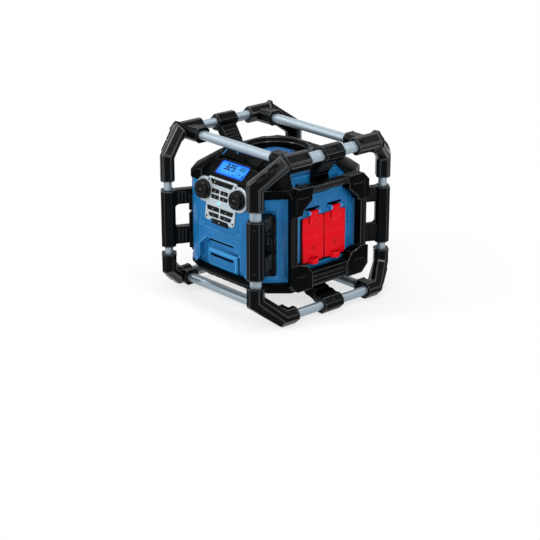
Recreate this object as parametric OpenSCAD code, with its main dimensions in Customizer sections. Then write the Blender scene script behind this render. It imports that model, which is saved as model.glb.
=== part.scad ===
// Jobsite radio in a roll cage of aluminium tubes.
// +Z is up, the control panel faces -Y and the mains sockets face +X.
// The origin is the middle of the floor area that the cage stands on.

/* [Cage frame] */
// Half distance between the left and right posts
post_x = 150; // [142:1:165]
// Half distance between the front and rear posts
post_y = 193; // [188:1:205]
// Half distance between the top side tubes
top_rail_x = 179; // [174:1:190]
// Half distance between the bottom side tubes
bottom_rail_x = 181; // [176:1:192]
// Height of the axis of the top side tubes
top_rail_z = 368; // [362:1:380]
// Height at which the posts' upper elbows bend inwards
upper_bend_z = 323; // [316:1:330]
// Height at which the posts' lower elbows bend inwards
lower_bend_z = 61; // [58:1:68]
// Half length of the top side rails between the elbows' knees
top_knee_y = 136; // [130:1:142]
// Half length of the bottom side rails between the elbows' knees
bottom_knee_y = 142; // [138:1:148]
// Half distance between the top cross tubes
top_cross_y = 111; // [106:1:114]
// Half distance between the bottom cross tubes
bottom_cross_y = 127; // [124:1:130]

/* [Tubes and sleeves] */
// Width of the oval tube
tube_w = 26; // [22:0.5:27]
// Thickness of the oval tube
tube_t = 19; // [16:0.5:20]
// Wall of the tube
tube_wall = 1.6; // [1.2:0.1:2.5]
// Depth of the grooves along the tube
groove = 0.4; // [0.2:0.1:0.6]
// Width of a moulded sleeve
sleeve_w = 38; // [36:0.5:42]
// Thickness of a moulded sleeve
sleeve_t = 33; // [31:0.5:36]
// Corner chamfer of a sleeve
sleeve_chamfer = 8; // [6:0.5:10]
// Play between a tube and its sleeve
tube_fit = 0.15; // [0.1:0.05:0.3]
// Depth to which a tube enters an elbow
tube_entry = 27; // [20:1:30]
// Height of the top end of the lower elbows
lower_elbow_top = 96; // [92:1:98]
// Height of the lower end of the post bracket
bracket_low = 113; // [108:1:118]
// Height of the upper end of the post bracket
bracket_high = 248; // [240:1:252]
// Height of the lower end of the upper elbows
upper_elbow_low = 269; // [262:1:274]

/* [Body shell] */
// Half depth of the body at its flat front
front_y = 168; // [162:1:172]
// Half width of the flat front
flat_x = 71; // [66:1:76]
// Half width of the body at its front corners
corner_x = 115; // [112:1:118]
// Half depth of the body at its front corners
corner_y = 151; // [148:1:154]
// Half width of the body at its sides
side_x = 152; // [149:1:154]
// Half depth of the flat side
side_y = 102; // [98:1:106]
// Height of the underside of the body
skid_z = 54; // [50:1:58]
// Height at which the black skid meets the coloured housing
skid_top = 85; // [80:1:90]
// Height at which the housing meets the top shell
housing_top = 277; // [272:1:280]
// Height of the flat top around the speaker ring
shell_top = 335; // [330:1:338]
// Lean of the control panel from the vertical, in degrees
panel_lean = 6.3; // [4:0.1:8]
// Clearance between shell parts
seam = 0.3; // [0.2:0.05:0.5]

/* [Controls] */
// Height of the knob axes on the panel
knob_z = 264.5; // [262:0.5:266]
// Half distance between the two knobs
knob_x = 58; // [55:0.5:60]
// Diameter of a knob
knob_d = 45; // [42:0.5:46]
// Height of a knob
knob_h = 14; // [12:0.5:17]
// Diameter of the knob shaft
shaft_d = 8; // [6:0.5:10]
// Thickness of the control plate
plate_t = 4; // [3:0.1:4.5]
// Travel of a key
key_travel = 1; // [0.6:0.1:1.4]
// Gap around a key in the plate
key_gap = 0.35; // [0.3:0.05:0.5]
// Width of the display window
lcd_w = 92; // [84:1:96]
// Height of the display window
lcd_h = 36; // [32:1:40]

/* [Sockets and side guards] */
// Half distance between the two sockets
socket_y = 33; // [32.5:0.5:35]
// Height of the socket centres
socket_z = 168; // [164:1:172]
// Width of a socket flap
flap_w = 63; // [58:1:64]
// Height of a socket flap
flap_h = 104; // [98:1:106]
// Thickness of a socket flap
flap_t = 3.6; // [3:0.1:4.5]
// Height of the flap hinge axis
flap_hinge_z = 235; // [232:1:238]
// Diameter of the hinge pins
pin_d = 4; // [3:0.5:5]
// Half length of the socket guard
guard_y = 117; // [113:1:121]
// Height of the lower edge of the socket guard
guard_low = 67; // [64:1:72]
// Height of the upper edge of the socket guard
guard_high = 305; // [300:1:308]
// Distance of the socket guard's outer face from the middle
guard_x = 183; // [178:1:185]
// Half length of the guard's opening
guard_open_y = 96; // [94:1:97]
// Height of the lower edge of the guard's opening
guard_open_low = 104; // [100:1:106]
// Height of the upper edge of the guard's opening
guard_open_high = 287; // [283:1:289]
// Half length of the frame around the battery bay
frame_y = 92; // [88:1:94]
// Distance of the battery frame's outer face from the middle
frame_x = 166; // [164:0.5:168]

/* [Doors] */
// Half width of the media door
media_x = 62; // [56:1:66]
// Half width of the battery door
battery_y = 56; // [50:1:60]
// Height of the battery door
battery_h = 112; // [104:1:116]
// Height of the battery door's hinge axis
battery_hinge_z = 112; // [108:1:114]
// Depth of the battery bay
battery_depth = 50; // [44:1:54]

/* [Hidden] */
$fn = 48;

// ---- colours
black = [0.07, 0.07, 0.08];
blue = [0.10, 0.42, 0.72];
silver = [0.72, 0.74, 0.76];
alu = [0.80, 0.82, 0.84];
red = [0.90, 0.08, 0.08];

// ---- cage, derived
foot = (sleeve_w + sleeve_t) / 2 - sleeve_chamfer;          // corner reach before the 45 degree turn
foot_cut = 0.4;                                              // the chamfers are cut to one level floor
bottom_rail_z = foot / sqrt(2) - foot_cut;                   // a turned sleeve then stands on its chamfer
slab = 0.5;
knee_grow = 0.8;                                             // elbows swell a little at their bends
out_len = norm([post_x, post_y]);
post_out = [post_x / out_len, -post_y / out_len, 0];         // outward direction at the front right post
post_turn = atan2(post_out[1], post_out[0]);
top_sleeve_y = 71;
bottom_sleeve_y = 108;
top_boss_x = 122;
bottom_boss_x = 150;
clamp_half = 29;
clamp_w = 2 * clamp_half - 12;                               // width of a clamp's arm
pad_w = 18;                                                  // raised pads on the upper elbows
pad_long = 26;
pad_high = 2.2;
post_low = lower_elbow_top - tube_entry;
post_high = upper_elbow_low + tube_entry + 8;
top_side_half = top_sleeve_y + tube_entry - 4;
bottom_side_half = bottom_sleeve_y + tube_entry - 10;
top_cross_half = top_boss_x + tube_entry;
bottom_cross_half = bottom_boss_x + tube_entry / 2;
screw_d = 6;
screw_h = 2.4;

// ---- body, derived
wall = 24;                                                   // solid depth of the housing behind its faces
corner_run = [side_x - corner_x, corner_y - side_y];
corner_turn = atan2(corner_run[1], corner_run[0]);           // lean of the corner face in plan
corner_mid = [(side_x + corner_x) / 2, -(side_y + corner_y) / 2];
corner_out = [sin(corner_turn), -cos(corner_turn)];
foot_shift = 13;                                             // the bracket foot sits towards the front
foot_at = corner_mid - foot_shift * [cos(corner_turn), sin(corner_turn)];
foot_w = 34;
foot_t = 6;
foot_deep = 4;
foot_low = bracket_low - 12;
foot_high = bracket_high - 6;
foot_gap = 7;                                                // gap between the foot's three bands of ribs
foot_band = (foot_high - foot_low - 12 - 2 * foot_gap) / 3;
panel_y = front_y - 10;                                      // where the panel plane crosses the knob height
plate_sink = 0.5;                                            // the plate stands proud of the panel
well_deep = plate_sink + 7;                                  // room behind the plate for the keys
slope_top = [120, 67, 318];                                  // upper end of the housing's side slope
display_lean = 41;
display_mid = [0, -128, 314];
cheek_x = 77;
ring_r = 84;
dish_r = 67;
ring_top = shell_top + 10;
dish_floor = 318;
media_front = [-107, 333];
media_back = [-87, ring_top + 1];
media_t = 3;
flap_hinge_x = side_x + 10;
panel_pad = 5;
pad_x = side_x + panel_pad;
pad_y = 74;                                                  // half length of the raised pad
media_hinge = [media_back[0] + 6.5, media_back[1] - media_t / 2];
driver_r = 27;
driver_skin = 8;
driver_z = 175;
bass_r = 56;
dish_skin = 4;
latch_w = 26;
latch_h = 8;
latch_z = battery_hinge_z + battery_h - 10;
knuckle_half = 25;                                           // half width of the battery door's hinge
rear_w = 128;
rear_h = 126;
rear_low = 112;
vent_w = 100;
inlet = [34, 24];                                            // opening of the mains inlet
dome_r = 52;
step_up = 40;                                                // the step on the side slope, up from its foot
slope_screw_y = 58;                                          // screws on the side slope
recess_half = [90, 70, 70, 44];                              // half widths of the front recess going up
recess_z = [skid_top - 1, 104, 136, 156];                    // and their heights
recess_deep = 16;
port_half = [50, 39];                                        // half widths of the port box and its mouth
port_z = [skid_top, 113.5, 129, 142];                        // port box, mouth, top of the box and its slope
port_out = 6;                                                // the box stands this far off the recess floor
port_mouth = 4.6;
board = 120;
transformer = [60, 60, 45];

// ---- helpers
// Places children with z along dir and y towards out
module along(p, dir, out) {
  z = dir / norm(dir);
  x = cross(out, z) / norm(cross(out, z));
  y = cross(z, x);
  multmatrix([[x[0], y[0], z[0], p[0]], [x[1], y[1], z[1], p[1]], [x[2], y[2], z[2], p[2]]]) children();
}

// Draws children at one corner of the cage or body
module corner(right, front) {
  mirror([right ? 0 : 1, 0, 0]) mirror([0, front ? 0 : 1, 0]) children();
}

module oval(w, t) {
  square([w - t, t], center = true);
  for (s = [-1, 1]) translate([s * (w - t) / 2, 0]) circle(d = t);
}

// Section of an aluminium tube: an oval with shallow grooves in each wide face
module tube_section() {
  difference() {
    oval(tube_w, tube_t);
    oval(tube_w - 2 * tube_wall, tube_t - 2 * tube_wall);
    for (s = [-1, 1], x = [-4, 0, 4]) translate([x, s * tube_t / 2]) square([1.2, 2 * groove], center = true);
  }
}

module tube(length) linear_extrude(length) tube_section();

// Hole for a tube, cut through a sleeve
module tube_hole(length) linear_extrude(length) oval(tube_w + 2 * tube_fit, tube_t + 2 * tube_fit);

function sleeve_points(grow = 0) =
  let (w = sleeve_w / 2 + grow, t = sleeve_t / 2 + grow, c = sleeve_chamfer)
  [[w, -t + c], [w, t - c], [w - c, t], [-w + c, t], [-w, t - c], [-w, -t + c], [-w + c, -t], [w - c, -t]];

// Thin slab of the sleeve's section, the end of a hull
module sleeve_plate(grow = 0) linear_extrude(slab) polygon(sleeve_points(grow));

// Straight sleeve with chamfered ends
module sleeve(length, lip = 2) {
  hull() {
    for (e = [0, 1]) {
      translate([0, 0, e * (length - slab)]) sleeve_plate(-lip);
      translate([0, 0, lip + e * (length - 2 * lip - slab)]) sleeve_plate();
    }
  }
}

// One arm of an elbow, from a chamfered mouth at a to a mitre at b
module elbow_arm(a, b, out_a, mitre_dir, out_b, lip = 2) {
  run = (b - a) / norm(b - a);
  hull() {
    along(a, run, out_a) sleeve_plate(-lip);
    along(a + lip * run, run, out_a) sleeve_plate();
    along(b, mitre_dir, out_b) translate([0, 0, -slab / 2]) sleeve_plate(knee_grow);
  }
}

module elbow_link(a, b, dir_a, out_a, dir_b, out_b) {
  hull() {
    along(a, dir_a, out_a) translate([0, 0, -slab / 2]) sleeve_plate(knee_grow + 0.2);
    along(b, dir_b, out_b) translate([0, 0, -slab / 2]) sleeve_plate(knee_grow + 0.2);
  }
}

// Screw hole and the screw in it, both along -z from a surface at z = 0
module screw_hole() {
  translate([0, 0, -screw_h - 0.6]) cylinder(d = screw_d + 0.5, h = screw_h + 2);
  translate([0, 0, -screw_h - 3.6]) cylinder(d = 3.4, h = 4);
}

module screw() {
  difference() {
    union() {
      translate([0, 0, -screw_h - 0.6]) cylinder(d = screw_d, h = screw_h);
      translate([0, 0, -screw_h - 3.3]) cylinder(d = 3, h = 3);
    }
    translate([0, 0, -1.8]) cylinder(d = 3, h = 2, $fn = 6);
  }
}

// ---- cage tubes
module post_tube() color(alu)
  translate([post_x, -post_y, post_low]) rotate([0, 0, post_turn + 90]) tube(post_high - post_low);

module top_side_tube() color(alu)
  translate([top_rail_x, top_side_half, top_rail_z]) rotate([90, 0, 0]) rotate([0, 0, -45])
    tube(2 * top_side_half);

module bottom_side_tube() color(alu)
  translate([bottom_rail_x, bottom_side_half, bottom_rail_z]) rotate([90, 0, 0]) rotate([0, 0, 45])
    tube(2 * bottom_side_half);

module top_cross_tube() color(alu)
  translate([-top_cross_half, -top_cross_y, top_rail_z - 3]) rotate([90, 0, 90]) tube(2 * top_cross_half);

module bottom_cross_tube() color(alu)
  translate([-bottom_cross_half, -bottom_cross_y, bottom_rail_z]) rotate([90, 0, 90])
    tube(2 * bottom_cross_half);

// ---- elbows
top_knee = [top_rail_x, -top_knee_y, top_rail_z];
top_bend = [post_x, -post_y, upper_bend_z];
top_rise = (top_knee - top_bend) / norm(top_knee - top_bend);
rail_out = [1, 0, 1] / sqrt(2);

module top_elbow() color(black) {
  mouth = [post_x, -post_y, upper_elbow_low];
  tail = [top_rail_x, -top_sleeve_y, top_rail_z];
  rise_out = post_out + [0, 0, 0.3];
  difference() {
    union() {
      elbow_arm(mouth, top_bend, post_out, [0, 0, 1] + top_rise, rise_out);
      elbow_link(top_bend, top_knee, [0, 0, 1] + top_rise, rise_out, top_rise + [0, 1, 0], rail_out);
      elbow_arm(tail, top_knee, rail_out, -top_rise - [0, 1, 0], rail_out);
      translate([top_boss_x, -top_cross_y, top_rail_z - 3]) rotate([90, 0, 90])
        sleeve(top_rail_x - top_boss_x);
      // raised pads on the outer face of the rising arm
      for (f = [0.26, 0.7])
        along(top_bend + f * (top_knee - top_bend), top_rise, (1 - f) * rise_out + f * rail_out)
          translate([-pad_w / 2, sleeve_t / 2 - 2, -pad_long / 2]) cube([pad_w, 2 + pad_high, pad_long]);
    }
    translate([post_x, -post_y, upper_elbow_low - 1]) rotate([0, 0, post_turn + 90])
      tube_hole(post_high - upper_elbow_low + 1.5);
    translate([top_rail_x, -top_sleeve_y + 1, top_rail_z]) rotate([90, 0, 0]) rotate([0, 0, -45])
      tube_hole(top_side_half - top_sleeve_y + 1.5);
    translate([top_boss_x - 1, -top_cross_y, top_rail_z - 3]) rotate([90, 0, 90])
      tube_hole(top_cross_half - top_boss_x + 1.5);
    corner_screws_top() screw_hole();
  }
}

bottom_knee = [bottom_rail_x, -bottom_knee_y, bottom_rail_z];
bottom_bend = [post_x, -post_y, lower_bend_z];
bottom_fall = (bottom_knee - bottom_bend) / norm(bottom_knee - bottom_bend);
low_out = [1, 0, -1] / sqrt(2);

module bottom_elbow() color(black) {
  mouth = [post_x, -post_y, lower_elbow_top];
  tail = [bottom_rail_x, -bottom_sleeve_y, bottom_rail_z];
  difference() {
    union() {
      elbow_arm(mouth, bottom_bend, post_out, [0, 0, -1] + bottom_fall, post_out + [0, 0, -0.3]);
      elbow_link(bottom_bend, bottom_knee, [0, 0, -1] + bottom_fall, post_out + [0, 0, -0.3],
        bottom_fall + [0, 1, 0], low_out);
      elbow_arm(tail, bottom_knee, low_out, -bottom_fall - [0, 1, 0], low_out);
      translate([bottom_boss_x, -bottom_cross_y, bottom_rail_z]) rotate([90, 0, 90])
        sleeve(bottom_rail_x - bottom_boss_x);
    }
    translate([post_x, -post_y, post_low - 0.5]) rotate([0, 0, post_turn + 90])
      tube_hole(lower_elbow_top - post_low + 1.5);
    translate([bottom_rail_x, -bottom_sleeve_y + 1, bottom_rail_z]) rotate([90, 0, 0]) rotate([0, 0, 45])
      tube_hole(bottom_side_half - bottom_sleeve_y + 1.5);
    translate([bottom_boss_x - 1, -bottom_cross_y, bottom_rail_z]) rotate([90, 0, 90])
      tube_hole(bottom_cross_half - bottom_boss_x + 1.5);
    translate([0, 0, -50]) cube([800, 800, 100], center = true);
    corner_screws_bottom() screw_hole();
  }
}

// ---- screw places of one cage corner
module on_post(z) along([post_x, -post_y, z], post_out, [0, 0, 1]) translate([0, 0, sleeve_t / 2]) children();

module corner_screws_top() {
  on_post(upper_elbow_low + 14) children();
  along([top_rail_x, -top_sleeve_y - 12, top_rail_z], rail_out, [0, 1, 0])
    translate([0, 0, sleeve_t / 2]) children();
}

module corner_screws_bottom() on_post(lower_elbow_top - 14) children();

module corner_screws_bracket() for (z = [bracket_low + 18, bracket_high - 18]) on_post(z) children();

module clamp_screws_top()
  along([top_rail_x, 0, top_rail_z], rail_out, [0, 1, 0]) translate([0, 0, sleeve_t / 2]) children();

module clamp_screws_bottom()
  along([bottom_rail_x, 0, bottom_rail_z], rail_out, [0, 1, 0]) translate([0, 0, sleeve_w / 2]) children();

module cage_screws() color(silver) {
  for (right = [false, true], front = [false, true]) corner(right, front) {
    corner_screws_top() screw();
    corner_screws_bottom() screw();
    corner_screws_bracket() screw();
  }
  for (right = [false, true]) corner(right, true) {
    clamp_screws_top() screw();
    clamp_screws_bottom() screw();
  }
}

// ---- brackets that carry the body on the posts
arm_h_low = 40;
arm_h_high = 34;
arm_w = 20;
arm_low = bracket_low + 5;
arm_high = bracket_high - 1;
window_x = sleeve_t / 2 - 2;
window_r = 9;
arm_vec = [foot_at[0] - post_x, foot_at[1] + post_y];
arm_len = norm(arm_vec);
arm_turn = atan2(arm_vec[1], arm_vec[0]);

// Side view of the two arms, x along the arms from the post axis
module arm_profile() {
  window_low = arm_low + arm_h_low;
  window_high = arm_high - arm_h_high;
  difference() {
    translate([0, arm_low]) square([arm_len + 8, arm_high - arm_low]);
    translate([window_x, window_low + window_r]) square([arm_len, window_high - window_low - 2 * window_r]);
    translate([window_x + window_r, window_low]) square([arm_len, window_high - window_low]);
    for (z = [window_low + window_r, window_high - window_r])
      translate([window_x + window_r, z]) circle(r = window_r);
  }
}

// Foot plate on the body's corner face, with its outer ribs
module bracket_foot() {
  translate([foot_at[0], foot_at[1], foot_low]) rotate([0, 0, corner_turn]) {
    translate([-foot_w / 2, -foot_t + foot_deep - seam, 0]) cube([foot_w, foot_t, foot_high - foot_low]);
    for (k = [-2 : 2], b = [0 : 2]) translate([k * 8 - 1.6, -foot_t - 2, 6 + b * (foot_band + foot_gap)])
      cube([3.2, foot_deep + 3, foot_band]);
    translate([-foot_w / 4, -foot_t - 3.5, (foot_high - foot_low) / 2 - foot_gap])
      cube([foot_w / 2, foot_deep + 4.5, 2 * foot_gap]);
  }
}

module corner_bracket() color(black) {
  difference() {
    union() {
      translate([post_x, -post_y, bracket_low]) rotate([0, 0, post_turn + 90])
        sleeve(bracket_high - bracket_low);
      intersection() {
        translate([post_x, -post_y, 0]) rotate([0, 0, arm_turn]) union() {
          translate([0, arm_w / 2, 0]) rotate([90, 0, 0]) linear_extrude(arm_w) arm_profile();
          for (k = [0 : 4], z = [[arm_low, arm_h_low], [arm_high - arm_h_high, arm_h_high]])
            translate([sleeve_w / 2 + 3 + 8 * k, -arm_w / 2 - 2, z[0] + 3]) cube([4, arm_w + 4, z[1] - 6]);
        }
        // everything on the post's side of the foot
        translate([foot_at[0], foot_at[1], 0]) rotate([0, 0, corner_turn])
          translate([-200, -200 - foot_t + foot_deep + 1, 0]) cube([400, 200, 400]);
      }
      bracket_foot();
    }
    translate([post_x, -post_y, bracket_low - 1]) rotate([0, 0, post_turn + 90])
      tube_hole(bracket_high - bracket_low + 2);
    corner_screws_bracket() screw_hole();
  }
}

// ---- clamps that brace the body on the side rails
module top_clamp() color(black) {
  arm_top = [top_rail_x - 6, 0, top_rail_z - 8];
  arm_foot = [slope_top[0] + 22, 0, slope_top[2]];
  difference() {
    union() {
      translate([top_rail_x, clamp_half, top_rail_z]) rotate([90, 0, 0]) rotate([0, 0, -45])
        sleeve(2 * clamp_half);
      hull() {
        translate(arm_top) cube([16, clamp_w, 12], center = true);
        translate(arm_foot) cube([12, clamp_w - 4, 16], center = true);
      }
      hull() {
        translate(arm_foot) cube([12, clamp_w - 4, 16], center = true);
        side_slope() translate([-clamp_w / 2, 4, seam]) cube([clamp_w, 24, 6]);
      }
      // cross ribs, evenly spaced between the foot and the tube
      for (k = [0 : 5]) translate(arm_foot + k / 7 * (arm_top - arm_foot))
        cube([21, clamp_w - 8, 3.2], center = true);
    }
    translate([top_rail_x, clamp_half + 1, top_rail_z]) rotate([90, 0, 0]) rotate([0, 0, -45])
      tube_hole(2 * clamp_half + 2);
    side_slope() translate([-100, -60, -40 + seam]) cube([200, 160, 40]);
    clamp_screws_top() screw_hole();
  }
}

// Draws children on the right side's slope: z out of it, y up it and x along it
module side_slope() {
  up = [slope_top[0] - side_x, 0, slope_top[2] - housing_top];
  out = [-up[2], 0, up[0]];
  along([side_x, 0, housing_top], -out, up) children();
}

module bottom_clamp() color(black) {
  slope_run = bottom_rail_x - side_x + 8;
  slope_fall = skid_z - 30;
  difference() {
    union() {
      translate([bottom_rail_x, clamp_half, bottom_rail_z]) rotate([90, 0, 0]) rotate([0, 0, 45])
        sleeve(2 * clamp_half);
      difference() {
        union() {
          translate([side_x - 34, clamp_half - 1, 0]) rotate([90, 0, 0]) linear_extrude(2 * clamp_half - 2)
            polygon([[0, skid_z - seam], [26, skid_z - seam], [bottom_rail_x - side_x + 34, 30],
              [bottom_rail_x - side_x + 34, 10], [bottom_rail_x - side_x + 20, 8], [0, skid_z - 12]]);
          // cross ribs on the arm's slope
          for (k = [0.25, 0.5, 0.75]) translate([side_x - 8 + k * slope_run, 0, skid_z - 1 - k * slope_fall])
            rotate([0, atan2(slope_fall, slope_run), 0]) cube([3.4, 2 * clamp_half - 2, 5], center = true);
        }
        for (s = [-1, 1]) translate([side_x - 2, s * (clamp_half + 13), -1]) cylinder(r = 22, h = 80);
      }
    }
    translate([bottom_rail_x, clamp_half + 1, bottom_rail_z]) rotate([90, 0, 0]) rotate([0, 0, 45])
      tube_hole(2 * clamp_half + 2);
    translate([0, 0, -50]) cube([800, 800, 100], center = true);
    clamp_screws_bottom() screw_hole();
  }
}

// ---- body plan: a twelve-sided outline, grown or shrunk by g
function plan(g = 0) =
  let (a = [flat_x + 0.2 * g, front_y + g], b = [corner_x + 0.6 * g, corner_y + 0.8 * g],
    c = [side_x + g, side_y + 0.4 * g])
  [[a[0], -a[1]], [b[0], -b[1]], [c[0], -c[1]], [c[0], c[1]], [b[0], b[1]], [a[0], a[1]],
    [-a[0], a[1]], [-b[0], b[1]], [-c[0], c[1]], [-c[0], -c[1]], [-b[0], -b[1]], [-a[0], -a[1]]];

// Draws children on the control panel: x across, y up the panel, z out of it
module on_panel() translate([0, -panel_y, knob_z]) rotate([90 - panel_lean, 0, 0]) children();

// Draws children on the display slope
module on_display() translate(display_mid) rotate([display_lean, 0, 0]) children();

// Draws children on the right side: x along +Y, y up, z out along +X
module on_side(x) translate([x, 0, 0]) rotate([90, 0, 90]) children();

module socket_places() for (s = [-1, 1]) translate([s * socket_y, socket_z]) children();

// Outline of the control plate: two knob lobes, a raised top and a narrower key field
module plate_outline() {
  for (s = [-1, 1]) translate([s * knob_x, 0]) circle(r = knob_d / 2 + 6);
  polygon([[52, 24], [44, 33], [-44, 33], [-52, 24], [-60, 0], [-52, -22], [-50, -30], [-50, -60], [-44, -66],
    [-33, -66], [-26, -60], [26, -60], [33, -66], [44, -66], [50, -60], [50, -30], [52, -22], [60, 0]]);
}

// Keys as [centre x, centre y, width, height, lean of the outer end]
power_at = [0, 23, 77, 10.4];
presets = [[-20, 3.2, 24, 8.4, 1], [10, 3.2, 24, 8.4, 1], [-20, -10.4, 24, 8.4, 1], [10, -10.4, 24, 8.4, 1]];
functions = [[-24.2, -38, 40, 9, 3], [22.4, -38, 42.4, 9, 3]];
lowers = [[-20.6, -52, 32.8, 8, 3], [20.9, -52, 36.6, 8, 4]];
enter_at = [0, -65.7, 54, 8.8];
led_at = [-6, -22];
plate_screws = [[-45.5, 25], [45.5, 25], [-44, -58.5], [44, -58.5]];

// A key whose outer end leans inwards going down
module key_shape(k, grow = 0) {
  w = k[2] / 2 + grow;
  h = k[3] / 2 + grow;
  left = k[0] < 0 ? k[4] : 0;
  right = k[0] < 0 ? 0 : k[4];
  translate([k[0], k[1]]) polygon([[left - w, -h], [w - right, -h], [w, h], [-w, h]]);
}

// Tapered keys have slanted ends: the power bar narrows downwards, the enter key widens downwards
module slant_shape(k, narrow_top, grow = 0) {
  w = k[2] / 2 + grow;
  h = k[3] / 2 + grow;
  cut = 7;
  t = narrow_top ? cut : 0;
  b = narrow_top ? 0 : cut;
  translate([k[0], k[1]]) polygon([[-w + b, -h], [w - b, -h], [w - t, h], [-w + t, h]]);
}

module all_keys(grow) {
  slant_shape(power_at, false, grow);
  for (k = concat(presets, functions, lowers)) key_shape(k, grow);
  slant_shape(enter_at, true, grow);
}

// Depth of a socket well behind the panel pad
well_r = 22;
socket_deep = 16;

module main_housing() color(blue) {
  difference() {
    union() {
      translate([0, 0, skid_top]) linear_extrude(housing_top - skid_top) polygon(plan());
      translate([0, 0, skid_top]) linear_extrude(9) polygon(plan(1.5));
      for (right = [false, true]) corner(right, true) {
        side_wedge();
        on_side(side_x - 1) linear_extrude(panel_pad + 1) translate([-pad_y, guard_open_low + 3])
          square([2 * pad_y, housing_top - guard_open_low - 6]);
      }
      flap_lugs();
    }
    // room inside for drivers and electronics
    translate([0, 0, skid_top + 10]) linear_extrude(housing_top - skid_top) intersection() {
      polygon(plan(-wall));
      translate([-side_x + battery_depth + 12, -front_y]) square([2 * side_x, 2 * front_y]);
    }
    for (right = [false, true], front = [false, true]) corner(right, front) driver_place()
      translate([0, 0, -60]) cylinder(r = driver_r + 1.5, h = 60);
    // leaning control panel
    on_panel() translate([-200, -84, 0]) cube([400, 200, 60]);
    on_panel() translate([0, 0, -plate_sink]) linear_extrude(10) plate_pocket(seam);
    on_panel() translate([0, 0, -well_deep]) linear_extrude(10) all_keys(2.2);
    for (s = [-1, 1]) on_panel() translate([s * knob_x, 0, -well_deep - 4])
      cylinder(d = shaft_d + 0.4, h = 20);
    lower_front_cuts();
    for (right = [false, true], front = [false, true]) corner(right, front) corner_recess();
    // sockets and their plate
    on_side(pad_x - 2) linear_extrude(10) socket_plate_outline(seam);
    on_side(pad_x - socket_deep - 1) linear_extrude(20) socket_places() circle(r = well_r + 0.2);
    battery_bay();
    rear_recess();
    for (right = [false, true]) corner(right, true) slope_slots();
    side_marks();
  }
  port_box();
}

// Row of slots and a hole behind the socket pad, and the groove round a bare label field
module side_marks() {
  for (k = [0 : 4]) translate([side_x - 3, side_y - 17, socket_z - 13 + 18 * k]) cube([5, 2.4, 11]);
  translate([side_x - 3, side_y - 24, socket_z + 22]) rotate([0, 90, 0]) cylinder(d = 5, h = 5);
  on_side(pad_x - 0.6) linear_extrude(2) translate([-2.4, housing_top - 16]) difference() {
    square([46, 20], center = true);
    square([44.6, 18.6], center = true);
  }
}

// Seat of a speaker driver behind a corner face: z points out through the face
module driver_place()
  along([corner_mid[0] - corner_out[0] * driver_skin, corner_mid[1] - corner_out[1] * driver_skin, driver_z],
    [corner_out[0], corner_out[1], 0], [0, 0, 1]) children();

// Coloured wedge that carries the side up into the top shell
module side_wedge() hull() {
  translate([side_x - 40, -side_y + 2, housing_top - 4]) cube([40, 2 * side_y - 4, 4]);
  translate([slope_top[0] - 8, -slope_top[1], slope_top[2] - 2]) cube([8, 2 * slope_top[1], 2]);
}

// Step and screw recesses on the sloped side
module slope_slots() side_slope() {
  translate([12 - side_y, step_up, -1.2]) cube([2 * side_y - 24, 2, 4]);
  for (s = [-1, 1]) translate([s * slope_screw_y, 12, -3]) cylinder(d = screw_d, h = 6);
}

module plate_pocket(grow) {
  for (s = [-1, 1]) translate([s * knob_x, 0]) circle(r = knob_d / 2 + 6 + grow);
  polygon([[52, 25 + grow], [45, 33 + grow], [-45, 33 + grow], [-52 - grow, 24], [-60, 0],
    [-52 - grow, -22], [-50 - grow, -30], [-50 - grow, -60 - grow], [-44 - grow, -66 - grow],
    [-30, -72 - grow], [30, -72 - grow], [44 + grow, -66 - grow], [50 + grow, -60 - grow],
    [50 + grow, -30], [52 + grow, -22], [60, 0], [52 + grow, 24]]);
}

// Shallow lines, slotted recess and port opening of the lower front
module lower_front_cuts() {
  // recess that is open at the bottom and narrows upwards, with a slot along the top of its floor
  translate([0, -front_y + recess_deep, 0]) rotate([90, 0, 0]) linear_extrude(recess_deep + 10)
    polygon([for (k = [0 : 7]) let (i = k < 4 ? k : 7 - k) [(k < 4 ? 1 : -1) * recess_half[i], recess_z[i]]]);
  translate([-recess_half[3] + 2, -front_y + recess_deep - 1, port_z[3] + 1])
    cube([2 * recess_half[3] - 4, 7, 6]);
  for (z = [recess_z[3] + 15, recess_z[3] + 22]) translate([-corner_x, -front_y - 1, z])
    cube([2 * corner_x, 2, 1.2]);
  // facet notches beside the panel
  for (s = [-1, 1]) translate([s * 62 - 5, -front_y - 1, 186]) cube([10, 6, 44]);
}

// Raised bass port with its mouth, under a slope that runs up the recess floor
module port_box() {
  floor_y = -front_y + recess_deep;
  difference() {
    translate([-port_half[0], 0, 0]) rotate([90, 0, 90]) linear_extrude(2 * port_half[0])
      polygon([[floor_y + 1, port_z[0]], [floor_y - port_out + 2, port_z[0]],
        [floor_y - port_out, port_z[0] + 4], [floor_y - port_out, port_z[2]], [floor_y + 1, port_z[3]]]);
    translate([-port_half[1], floor_y - port_out - 1, port_z[1]])
      cube([2 * port_half[1], port_out + 5, port_mouth]);
  }
  translate([-port_half[0] - 10, 0, 0]) rotate([90, 0, 90]) linear_extrude(2 * port_half[0] + 20)
    polygon([[floor_y + 1, port_z[2]], [floor_y - port_out + 1, port_z[2]], [floor_y + 1, port_z[3]]]);
}

module corner_recess() translate([foot_at[0], foot_at[1], foot_low - 3]) rotate([0, 0, corner_turn]) {
  translate([-foot_w / 2 - 3, -10 + foot_deep, 0])
    cube([foot_w + 6, 10, foot_high - foot_low + 12]);
  translate([-14, -10 + foot_deep + 3, 30]) cube([28, 10, foot_high - foot_low - 60]);
}

module socket_plate_outline(grow = 0)
  translate([-2 * socket_y - 3 - grow, socket_z - flap_h / 2 - 2 - grow])
    square([4 * socket_y + 6 + 2 * grow, flap_h + 6 + 2 * grow]);

// Lugs that carry the flap pins
lug_r = 5;
lug_w = 6;
strap_w = 24;

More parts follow.
